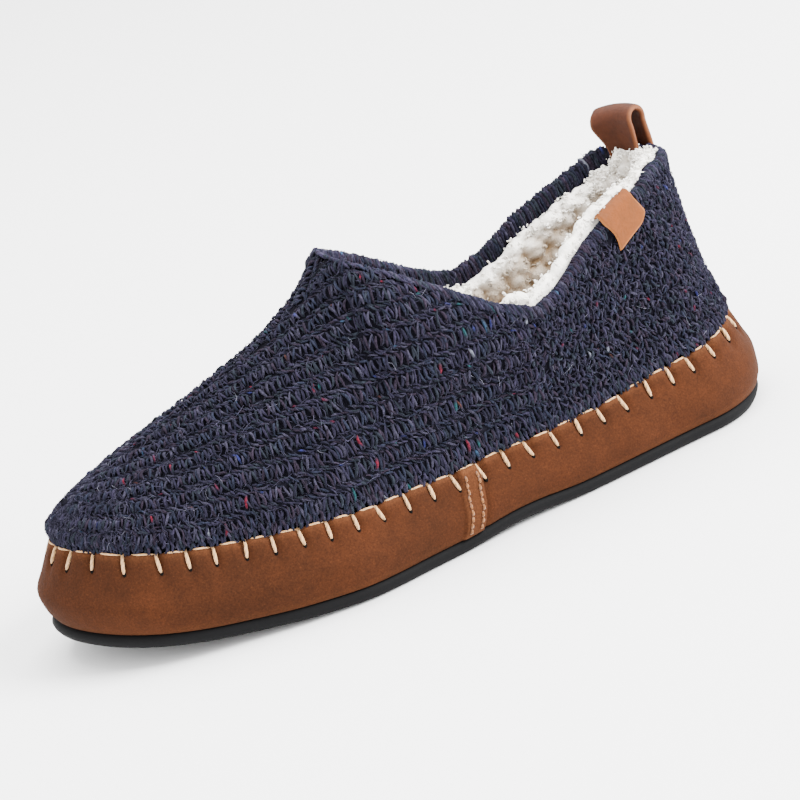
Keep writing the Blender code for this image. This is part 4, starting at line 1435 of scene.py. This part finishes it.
def rim_core(sizes):
    """Points of the core inside the rolled edge, dark with painted shade, one ring at each station."""
    station = collar_run(0.0020)
    ring = np.stack([rim_section(station, value, sizes, 0.002, rim_inner_drop(station))
                     for value in np.linspace(0.1, 0.9, RIM_STEPS)], 1)
    middle = ring.mean(1, keepdims=True)
    return middle + (ring - middle) * 0.80


def knit_ground():
    """Points of the knit's back, dark with painted shade: up outside from behind the wrap, and down inside.
    """
    angle = np.repeat(np.linspace(0, TURN, GROUND_TURNS, endpoint=False)[:, None], GROUND_ROWS, 1)
    distance = np.linspace(0, 1, GROUND_ROWS) * WALL.total(angle[:, 0])[:, None]
    v = WALL.v_at(angle.ravel(), distance.ravel()).reshape(angle.shape)
    points = WALL.sample(WALL.points, angle, v)
    normals = unit(WALL.sample(WALL.normals, angle, v))
    sink = 0.0007 + 0.0003 * wobble(angle * 0.05, v * 0.06, 2, 0.006)
    share = share_of(angle[:, 0])
    tucked = []
    for height in (lift(share) + FOOTBED_HEIGHT + 0.001, wrap_top(share) - 0.001):
        inset = wrap_inset(share, height) + WRAP_WALL + SOFT_GAP + 0.001
        tucked.append(at(outline(angle[:, 0], inset), height))
    outer = points - normals * sink[..., None]
    inner = points[:, ::-6] - normals[:, ::-6] * (KNIT_WALL - 0.0003)
    return np.concatenate([np.stack(tucked, 1), outer, inner], 1)


class SLIPPER_OT_knit(bpy.types.Operator):
    """Knit the upper: a ground dark with painted shade, ribbed front, closer rear and the rolled edge"""
    bl_idname = "slipper.knit"
    bl_label = "Knit upper"

    def execute(self, context):
        sizes, colours = settings()
        ground = knit_ground()
        faces = [grid_faces(GROUND_TURNS, ground.shape[1], round_columns=True)]
        # The knit's back, and the rolled edge's core below, carry painted shade: navy darkened between the
        # stitches
        painted_shade_ground = ground_finish(colours)
        dress(mesh_piece("knit_ground", ground, faces, painted_shade_ground), "wool_knit", "knit_upper")
        yarn = yarn_finish("wool_yarn", 2.2, 0.00035)
        for name, rows in (("knit_ribs", front_uprights), ("knit_ridges", front_ridges),
                           ("knit_rear", rear_rows), ("knit_tucked", tucked_rows)):
            dress(tube_piece(name, rows(sizes), yarn), "wool_knit", "knit_upper")

        core = rim_core(sizes)
        faces = [grid_faces(*core.shape[:2], round_rows=True)]
        dress(mesh_piece("rim_core", core, faces, painted_shade_ground), "wool_knit", "knit_upper")
        dress(tube_piece("knit_rim", rim_strands(sizes), yarn), "wool_knit", "knit_upper")
        return {"FINISHED"}


# name, count, least and greatest length, least and greatest radius, colour, share of pale hairs
HAIRS = (
    ("wool_fuzz", 5600, (0.0012, 0.0030), (0.00009, 0.00015), srgb(36, 34, 46), 0.0),
    ("wool_hairs", 2600, (0.0022, 0.0056), (0.00005, 0.00008), srgb(54, 52, 66), 0.05),
)
PALE_WOOL = srgb(104, 104, 116)


class SLIPPER_OT_wool_hairs(bpy.types.Operator):
    """Raise loose wool hairs from the knit"""
    bl_idname = "slipper.wool_hairs"
    bl_label = "Wool hairs"

    def execute(self, context):
        rng = np.random.default_rng(17)
        for name, count, reach, thick, base, pale_share in HAIRS:
            angle = rng.uniform(0, TURN, count)
            v = rng.uniform(0.0, 1.0, count) ** 0.9
            root = WALL.sample(WALL.points, angle, v)
            normal = unit(WALL.sample(WALL.normals, angle, v))
            side = unit(np.cross(normal, rng.normal(0, 1, (count, 3))))
            other = np.cross(normal, side)
            t = np.linspace(0, 1, 3)[None, :, None]
            length = rng.uniform(*reach, (count, 1, 1))
            rise = rng.uniform(0.0002, 0.0010, (count, 1, 1))
            bend = rng.normal(0, 0.6, (count, 1, 1))
            path = (root[:, None] + normal[:, None] * (0.0001 + rise * np.sin(t * math.pi * 0.8))
                    + side[:, None] * length * (t - 0.5) + other[:, None] * length * bend * (t - 0.5) ** 2)
            radii = rng.uniform(*thick, (count, 1)) * (1.1 - 0.6 * t[..., 0])
            tint = np.clip(np.array(base)[None, None] * rng.uniform(0.3, 1.6, (count, 1, 1)), 0, 1)
            tint[rng.uniform(size=count) < pale_share] = PALE_WOOL
            tube = (path, radii, unit(normal + 0.3 * side), 3, tint)
            dress(tube_piece(name, [tube], yarn_finish(name, 2.0, 0.00005)), "wool_knit")
        return {"FINISHED"}


# Fleece lining

def lining_crest(angle):
    """How far above the collar's edge the fleece ends: it shows over the lateral edge."""
    share = share_of(angle)
    lateral = side_of(angle) < 0
    strip = blend(0.10, 0.17, share) * (1 - blend(0.345, 0.375, share))
    near = -0.0016 * blend(0.36, 0.42, share) + 0.0008 * (1 - blend(0.10, 0.17, share)) + 0.0046 * strip
    far = 0.0008 - 0.0074 * blend(0.01, 0.07, share) * (1 - blend(0.50, 0.565, share))
    return np.where(lateral, near, far)


# Drops of the rows outside the crest, and how far tufts raise each row over the crest
CREST_DROPS = (0.004, 0.0028, 0.0016, 0.0006)
CREST_RAISED = (0.0, 0.1, 0.3, 0.5) + 7 * (0.65,)
CREST_ROWS = len(CREST_RAISED)
LINING_ROWS = 62
FOOT_ROWS = 8
# From the face of the knit to the back of the fleece, and from its tufts to its hidden layer
LINING_BACK = KNIT_WALL - 0.0004
LINING_BEHIND = 0.0022


def fleece_crest(angle, normals, crest, half):
    """Rows of points over the crest of the fleece, from its outer side to its inner one, and
    the directions in which tufts push them out. Ahead of the throat they stay below the ridge."""
    top = top_point(angle)
    up = unit(top - WALL.sample(WALL.points, angle, WALL.v_at(angle, WALL.total(angle) - 0.004)))
    out = normals[:, 0]
    middle = top - out * (LINING_BACK + half) + up * (crest - half)[:, None]
    rows, push = [], []
    for drop in CREST_DROPS:
        rows.append(middle + out * half - up * (drop * np.clip(0.5 + crest / 0.004, 0.3, 1.5))[:, None])
        push.append(out)
    for turn in np.linspace(0, math.pi, CREST_ROWS - len(CREST_DROPS) + 1)[:-1]:
        push.append(math.cos(turn) * out + math.sin(turn) * up)
        rows.append(middle + half * push[-1])
    rows, push = np.stack(rows, 1), np.stack(push, 1)
    fall = LINING_BACK + 2 * half * np.linspace(0, 1, CREST_ROWS)
    under = top[:, None] - fall[:, None] * UPWARD
    ridge = blend(PEAK_SHARE - 0.004, PEAK_SHARE + 0.02, share_of(angle))[:, None, None]
    return rows * (1 - ridge) + under * ridge, push * (1 - ridge) - normals[:, :1] * ridge


def fleece_foot(angle, depth):
    """Rows of points of the fleece from the wrap's edge down to the footbed."""
    share = share_of(angle)
    bed = lift(share) + FOOTBED_HEIGHT
    rows = []
    for k in range(1, FOOT_ROWS + 1):
        height = bed - 0.001 + (wrap_top(share) + KNIT_PUFF_RISE - bed) * (1 - k / FOOT_ROWS)
        inset = wrap_inset(share, np.minimum(height, wrap_top(share))) + WRAP_WALL + KNIT_WALL
        rows.append(at(outline(angle, inset + depth - 0.0005), height))
    return np.stack(rows, 1)


class SLIPPER_OT_lining(bpy.types.Operator):
    """Line the upper with curly fleece"""
    bl_idname = "slipper.lining"
    bl_label = "Fleece lining"

    def execute(self, context):
        sizes, colours = settings()
        split = angle_at(0.62)
        rear = np.linspace(-split, split, 520, endpoint=False)
        front = np.linspace(split, TURN - split, 100, endpoint=False)
        angle = np.mod(np.concatenate([rear, front]), TURN)
        turns = len(angle)
        share = share_of(angle)
        total = WALL.total(angle)[:, None]
        crest = lining_crest(angle)
        half = sizes.fleece_depth / 2
        distance = (total + (crest - half)[:, None]) * (1 - np.linspace(0, 1, LINING_ROWS) ** 1.2)
        grid_angle = np.repeat(angle[:, None], LINING_ROWS, 1)
        v = WALL.v_at(grid_angle.ravel(), np.minimum(distance, total).ravel()).reshape(distance.shape)
        points = WALL.sample(WALL.points, grid_angle, v)
        points[..., 2] += np.maximum(distance - total, 0)
        normals = unit(WALL.sample(WALL.normals, grid_angle, v))
        inner = points - normals * (LINING_BACK + 2 * half)
        rows, push = fleece_crest(angle, normals, crest, half)
        surface = np.concatenate([rows, inner, fleece_foot(angle, sizes.fleece_depth)], 1)
        push = unit(np.concatenate([push, -normals, np.repeat(-normals[:, -1:], FOOT_ROWS, 1)], 1))
        tuft = tuft_field(surface, sizes.tuft_size, 6)
        grain = tuft_field(surface, sizes.tuft_size * 0.45, 7)
        seen_rows = surface.shape[1]
        raised = np.ones(seen_rows)
        raised[:CREST_ROWS] = CREST_RAISED
        surface = surface + push * ((0.0030 * tuft + 0.0009 * grain - 0.0015) * raised)[..., None]
        behind = (surface - push * LINING_BEHIND)[:, :CREST_ROWS + 1:-8]
        whole = np.concatenate([surface, behind], 1)
        # Tuft values drive painted shade in the fleece's colour: tan between the tufts; the hidden layer
        # behind is left white
        painted_tuft_shading = np.concatenate([tuft * 0.7 + grain * 0.3, np.ones((turns, behind.shape[1]))], 1)
        row = np.arange(whole.shape[1])
        # Painted light: rows at and just below the crest are made paler, less so further down inside
        painted_tuft_shading = np.clip(painted_tuft_shading + 0.75 * np.exp(-np.maximum(row - CREST_ROWS, 0) / 8.0), 0, 1)
        # Painted shade: the fleece darkens from the crest down into the shoe, except at the very heel
        inward = np.clip((row - CREST_ROWS - 1) / 9, 0, 1) * blend(0.01, 0.10, share)[:, None]
        inward[:, seen_rows:] = 0
        faces = [grid_faces(turns, whole.shape[1], round_columns=True, round_rows=True)]
        values = {"tuft": painted_tuft_shading, "painted_depth_shade": inward}
        lining = mesh_piece("fleece_lining", whole, faces, fleece_finish(colours), values)
        dress(lining, "footbed_foam")

        row = row[:seen_rows]
        seen = (share < 0.60)[:, None] & (row >= CREST_ROWS) & (row < 60)
        pale = curl_finish()
        # Painted shade: curls lower inside the shoe are tinted toward the fleece's painted tan shade
        painted_depth_shade = 0.75 * inward[:, :seen_rows][seen][:, None]
        shades = np.array(colours.fleece) * (1 - painted_depth_shade) + np.array(colours.painted_fleece_shade) * painted_depth_shade
        dress(curls("fleece_curls", surface[seen], push[seen], 8, 1000, 0.0016, 0.00050,
                    shades, pale), "footbed_foam")
        rim = (share < PEAK_SHARE - 0.01)[:, None] & (row > 2) & (row < CREST_ROWS + 2)
        dress(curls("fleece_edge", surface[rim], push[rim], 9, 1100, 0.0012, 0.00042,
                    colours.fleece, pale), "footbed_foam")
        return {"FINISHED"}


# Leather loop and tab

def height_share(angle, drop):
    """The v of the wall at which it has dropped by a length from its top."""
    low, high = np.zeros_like(angle), np.ones_like(angle)
    top = top_point(angle)[..., 2]
    for _ in range(30):
        middle = (low + high) / 2
        fallen = top - wall_point(angle, middle)[..., 2] > drop
        low, high = np.where(fallen, middle, low), np.where(fallen, high, middle)
    return (low + high) / 2


def beside_wall(angle, drop, outside, thickness):
    """Points on a strap's middle surface, on the outer or inner face of the wall."""
    v = height_share(angle, drop)
    normal = unit(WALL.sample(WALL.normals, angle, v))
    off = (SOFT_GAP + thickness / 2) if outside else -(KNIT_WALL + SOFT_GAP + thickness / 2)
    return wall_point(angle, v) + off * normal


def smooth_lines(lines, count):
    """Each column's line as evenly spaced points on a smooth curve."""
    out = []
    for line in lines:
        for _ in range(4):
            middle = (line[1:] + line[:-1]) / 2
            cut = np.empty((2 * len(middle), 3))
            cut[0::2], cut[1::2] = (3 * line[:-1] + line[1:]) / 4, (line[:-1] + 3 * line[1:]) / 4
            line = np.concatenate([line[:1], cut, line[-1:]])
        run = run_along(line)
        out.append(points_at(np.linspace(0, run[-1], count), run, line))
    return np.stack(out)


def strap_mesh(name, lines, thickness, finish):
    """A strap with rounded edges from columns of middle points."""
    columns, count = lines.shape[:2]
    forward = np.gradient(lines, axis=1)
    across = np.gradient(lines, axis=0)
    normal = unit(np.cross(forward, across))
    u = np.linspace(-1, 1, columns)
    width = np.linalg.norm(lines[-1, count // 2] - lines[0, count // 2])
    near = np.clip((np.abs(u) - (1 - thickness / width)) / (thickness / width), 0, 1)
    half = thickness / 2 * np.sqrt(np.clip(1 - near ** 2, 0.03, 1))
    a = lines + normal * half[:, None, None]
    b = lines - normal * half[:, None, None]
    ring = np.concatenate([a, b[::-1]])
    edge = np.concatenate([near, near[::-1]])[:, None] * np.ones((1, count))
    ends = np.clip(1 - np.minimum(np.arange(count), count - 1 - np.arange(count)) / 1.5, 0, 1)
    edge = np.maximum(edge, ends[None])
    around = 2 * columns
    i = np.arange(columns - 1)
    caps = np.stack([i, i + 1, around - 2 - i, around - 1 - i], -1) * count
    faces = [grid_faces(around, count, round_columns=True), caps, caps[:, ::-1] + count - 1]
    return mesh_piece(name, ring, faces, finish, values={"edge": edge})


def collar_angles(centre, width, count):
    """Stations spread over a width of the collar's edge round one station."""
    step = 1e-3
    ends = top_point(np.array([centre - step, centre + step]))
    speed = np.linalg.norm(ends[1] - ends[0]) / (2 * step)
    half = width / speed / 2
    return centre + half * np.linspace(-1, 1, count)


LOOP_COLUMNS = 29
TAB_COLUMNS = 27
# The leathers' raw edges and worn patches
RAW_BROWN = srgb(104, 62, 38)
WORN_BROWN = srgb(72, 38, 23)
RAW_TAN = srgb(140, 88, 46)
WORN_TAN = srgb(108, 57, 23)


class SLIPPER_OT_pull_loop(bpy.types.Operator):
    """Fold the brown leather loop over the back of the collar"""
    bl_idname = "slipper.pull_loop"
    bl_label = "Pull loop"

    def execute(self, context):
        colours = settings()[1]
        centre = TURN - station_at(LOOP_PLACE / 2)
        angles = collar_angles(centre, LOOP_WIDTH, LOOP_COLUMNS)
        bow = 1 - np.linspace(-1, 1, LOOP_COLUMNS) ** 2
        line = [beside_wall(angles, LOOP_OUTER_LEG * k / 4, True, LOOP_THICKNESS) for k in (4, 3, 2, 1)]
        top = top_point(angles)
        out = unit(at(outward(np.array(centre)), 0.0))
        radius = (LOOP_HOLE + LOOP_THICKNESS) / 2
        crown = top_point(np.array(centre))[2] + LOOP_RISE - radius - LOOP_THICKNESS / 2
        middle = top - out * (KNIT_WALL / 2 + LOOP_TOWARD_TOE)
        middle[:, 2] = crown + 0.0006 * bow
        line.append(line[-1] + np.array([0, 0, LOOP_OUTER_LEG / 4 + 0.001]))
        for degrees in np.linspace(-25, 205, 13):
            turn = math.radians(degrees)
            line.append(middle + radius * (math.cos(turn) * out + math.sin(turn) * UPWARD))
        inside = [beside_wall(angles, LOOP_INNER_LEG * k / 3, False, LOOP_THICKNESS) for k in (0.3, 1, 2, 3)]
        inside[0][:, 2] = top[:, 2] + 0.0005
        lines = smooth_lines(np.stack(line + inside, 1), 120)
        finish = leather_finish("brown_leather", colours.leather, RAW_BROWN, WORN_BROWN, 0.6)
        dress(strap_mesh("leather_loop", lines, LOOP_THICKNESS, finish), "brown_leather", "pull_loop")
        return {"FINISHED"}


class SLIPPER_OT_side_tab(bpy.types.Operator):
    """Fold the bare tan tab over the lateral edge of the collar"""
    bl_idname = "slipper.side_tab"
    bl_label = "Side tab"

    def execute(self, context):
        colours = settings()[1]
        angles = collar_angles(station_at(TAB_PLACE), TAB_WIDTH, TAB_COLUMNS)
        u = np.linspace(-1, 1, TAB_COLUMNS)
        leg = TAB_OUTER_LEG + TAB_POINT * u - 0.0026 * np.clip((-u - 0.45) / 0.55, 0, 1) ** 2
        waist = (angles[-1] - angles[0]) * 0.10 * np.clip(u, 0, 1)
        skew = (angles[-1] - angles[0]) * TAB_SKEW / TAB_WIDTH
        line = [beside_wall(angles - skew * k / 4 - waist * math.sin(math.pi * k / 4), leg * k / 4, True,
                            TAB_THICKNESS) for k in (4, 3, 2, 1, 0.3)]
        top = top_point(angles)
        out = at(outward(angles), 0.0)
        reach = KNIT_WALL / 2 + SOFT_GAP + TAB_THICKNESS / 2
        centre = top - out * KNIT_WALL / 2
        for degrees in (35, 65, 90, 115, 145):
            turn = math.radians(degrees)
            rise = (TAB_RISE + TAB_THICKNESS / 2) * math.sin(turn)
            line.append(centre + reach * math.cos(turn) * out + rise * UPWARD)
        line += [beside_wall(angles, TAB_INNER_LEG * k / 3, False, TAB_THICKNESS) for k in (0.3, 1, 2, 3)]
        lines = smooth_lines(np.stack(line, 1), 90)
        finish = leather_finish("tan_leather", colours.hide, RAW_TAN, WORN_TAN, 0.62)
        dress(strap_mesh("leather_tab", lines, TAB_THICKNESS, finish), "tan_leather", "side_tab")
        return {"FINISHED"}


# Studio

CAMERA_AZIMUTH = math.radians(18.0)
CAMERA_ELEVATION = math.radians(19.093)
CAMERA_ROLL = math.radians(-16.864)
CAMERA_DISTANCE = 1.1225
CAMERA_LENS = 146.4
CAMERA_SHIFT = (0.0117, 0.0157)
CAMERA_TARGET = np.array([0.0, 0.0, 0.040])
FLOOR_REACH = 4.0
WORLD_LIGHT = 2.6
# name, place, size in metres, power in watts
LAMPS = (
    ("key", (1.05, -0.8, 1.1), 0.9, 100.0),
    ("top", (0.15, 0.3, 1.6), 1.4, 62.0),
    ("fill", (-1.3, -0.8, 0.8), 1.2, 5.0),
)


def standing(side, up, back, where):
    """Matrix of a lamp or a camera from the directions of its axes and its place."""
    rows = zip(np.stack([side, up, back], 1), where)
    return Matrix([(*row, w) for row, w in rows] + [(0, 0, 0, 1)])


class SLIPPER_OT_studio(bpy.types.Operator):
    """Set the floor, the soft lights and the camera"""
    bl_idname = "slipper.studio"
    bl_label = "Studio"

    def execute(self, context):
        colours = settings()[1]
        scene = bpy.context.scene
        corners = FLOOR_REACH * np.array([(-1, -1, 0), (1, -1, 0), (1, 1, 0), (-1, 1, 0)], float)
        f = Finish("studio_floor", Roughness=0.9, Specular_IOR_Level=0.1)
        f.feed("Base Color", tuple(colours.floor))
        floor = mesh_piece("studio_floor", corners, [np.array([[0, 1, 2, 3]])], f.material, closed=False)

        world = bpy.data.worlds.new("studio")
        world.use_nodes = True
        world.node_tree.nodes["Background"].inputs["Color"].default_value = (1.0, 1.0, 1.0, 1.0)
        world.node_tree.nodes["Background"].inputs["Strength"].default_value = WORLD_LIGHT
        scene.world = world
        for name, where, reach, power in LAMPS:
            lamp = bpy.data.lights.new(name, "AREA")
            lamp.energy, lamp.size = power, reach
            thing = bpy.data.objects.new(name, lamp)
            away = unit(np.array(where) - CAMERA_TARGET)
            side = unit(np.cross(UPWARD, away))
            thing.matrix_world = standing(side, np.cross(away, side), away, where)
            scene.collection.objects.link(thing)

        az, el, roll = CAMERA_AZIMUTH, CAMERA_ELEVATION, CAMERA_ROLL
        forward = np.array([math.sin(az) * math.cos(el), math.cos(az) * math.cos(el), -math.sin(el)])
        right = np.array([math.cos(az), -math.sin(az), 0.0])
        up = np.array([math.sin(el) * math.sin(az), math.sin(el) * math.cos(az), math.cos(el)])
        rolled = math.cos(roll) * right + math.sin(roll) * up
        upper = -math.sin(roll) * right + math.cos(roll) * up
        where = CAMERA_TARGET - CAMERA_DISTANCE * forward
        camera = bpy.data.objects.new("camera", bpy.data.cameras.new("camera"))
        camera.data.lens = CAMERA_LENS
        camera.data.sensor_width = 36.0
        camera.data.shift_x, camera.data.shift_y = CAMERA_SHIFT
        camera.data.clip_start, camera.data.clip_end = 0.05, 20.0
        camera.matrix_world = standing(rolled, upper, -forward, where)
        scene.collection.objects.link(camera)
        scene.camera = camera
        return {"FINISHED"}


OPERATORS = (SLIPPER_OT_studio, SLIPPER_OT_sole, SLIPPER_OT_footbed, SLIPPER_OT_wrap,
             SLIPPER_OT_blanket_stitches, SLIPPER_OT_seam_stitches, SLIPPER_OT_knit,
             SLIPPER_OT_wool_hairs, SLIPPER_OT_lining, SLIPPER_OT_pull_loop, SLIPPER_OT_side_tab)


class SLIPPER_PT_panel(bpy.types.Panel):
    """The slipper's pieces, sizes and colours"""
    bl_idname = "SLIPPER_PT_panel"
    bl_label = "Slipper"
    bl_space_type = "VIEW_3D"
    bl_region_type = "UI"
    bl_category = "Slipper"

    def draw(self, context):
        for operator in OPERATORS:
            self.layout.operator(operator.bl_idname)
        for group in (context.scene.slipper_sizes, context.scene.slipper_colours):
            box = self.layout.box()
            for key in group.__annotations__:
                box.prop(group, key)


CLASSES = (SlipperSizes, SlipperColours, *OPERATORS, SLIPPER_PT_panel)


def register():
    """Add the slipper's tools to Blender."""
    for cls in CLASSES:
        bpy.utils.register_class(cls)
    bpy.types.Scene.slipper_sizes = bpy.props.PointerProperty(type=SlipperSizes)
    bpy.types.Scene.slipper_colours = bpy.props.PointerProperty(type=SlipperColours)


def unregister():
    """Take the slipper's tools out of Blender."""
    del bpy.types.Scene.slipper_colours
    del bpy.types.Scene.slipper_sizes
    for cls in reversed(CLASSES):
        bpy.utils.unregister_class(cls)


def main():
    """Build every piece in order."""
    register()
    for operator in OPERATORS:
        group, name = operator.bl_idname.split(".")
        getattr(getattr(bpy.ops, group), name)()


if __name__ == "__main__":
    main()
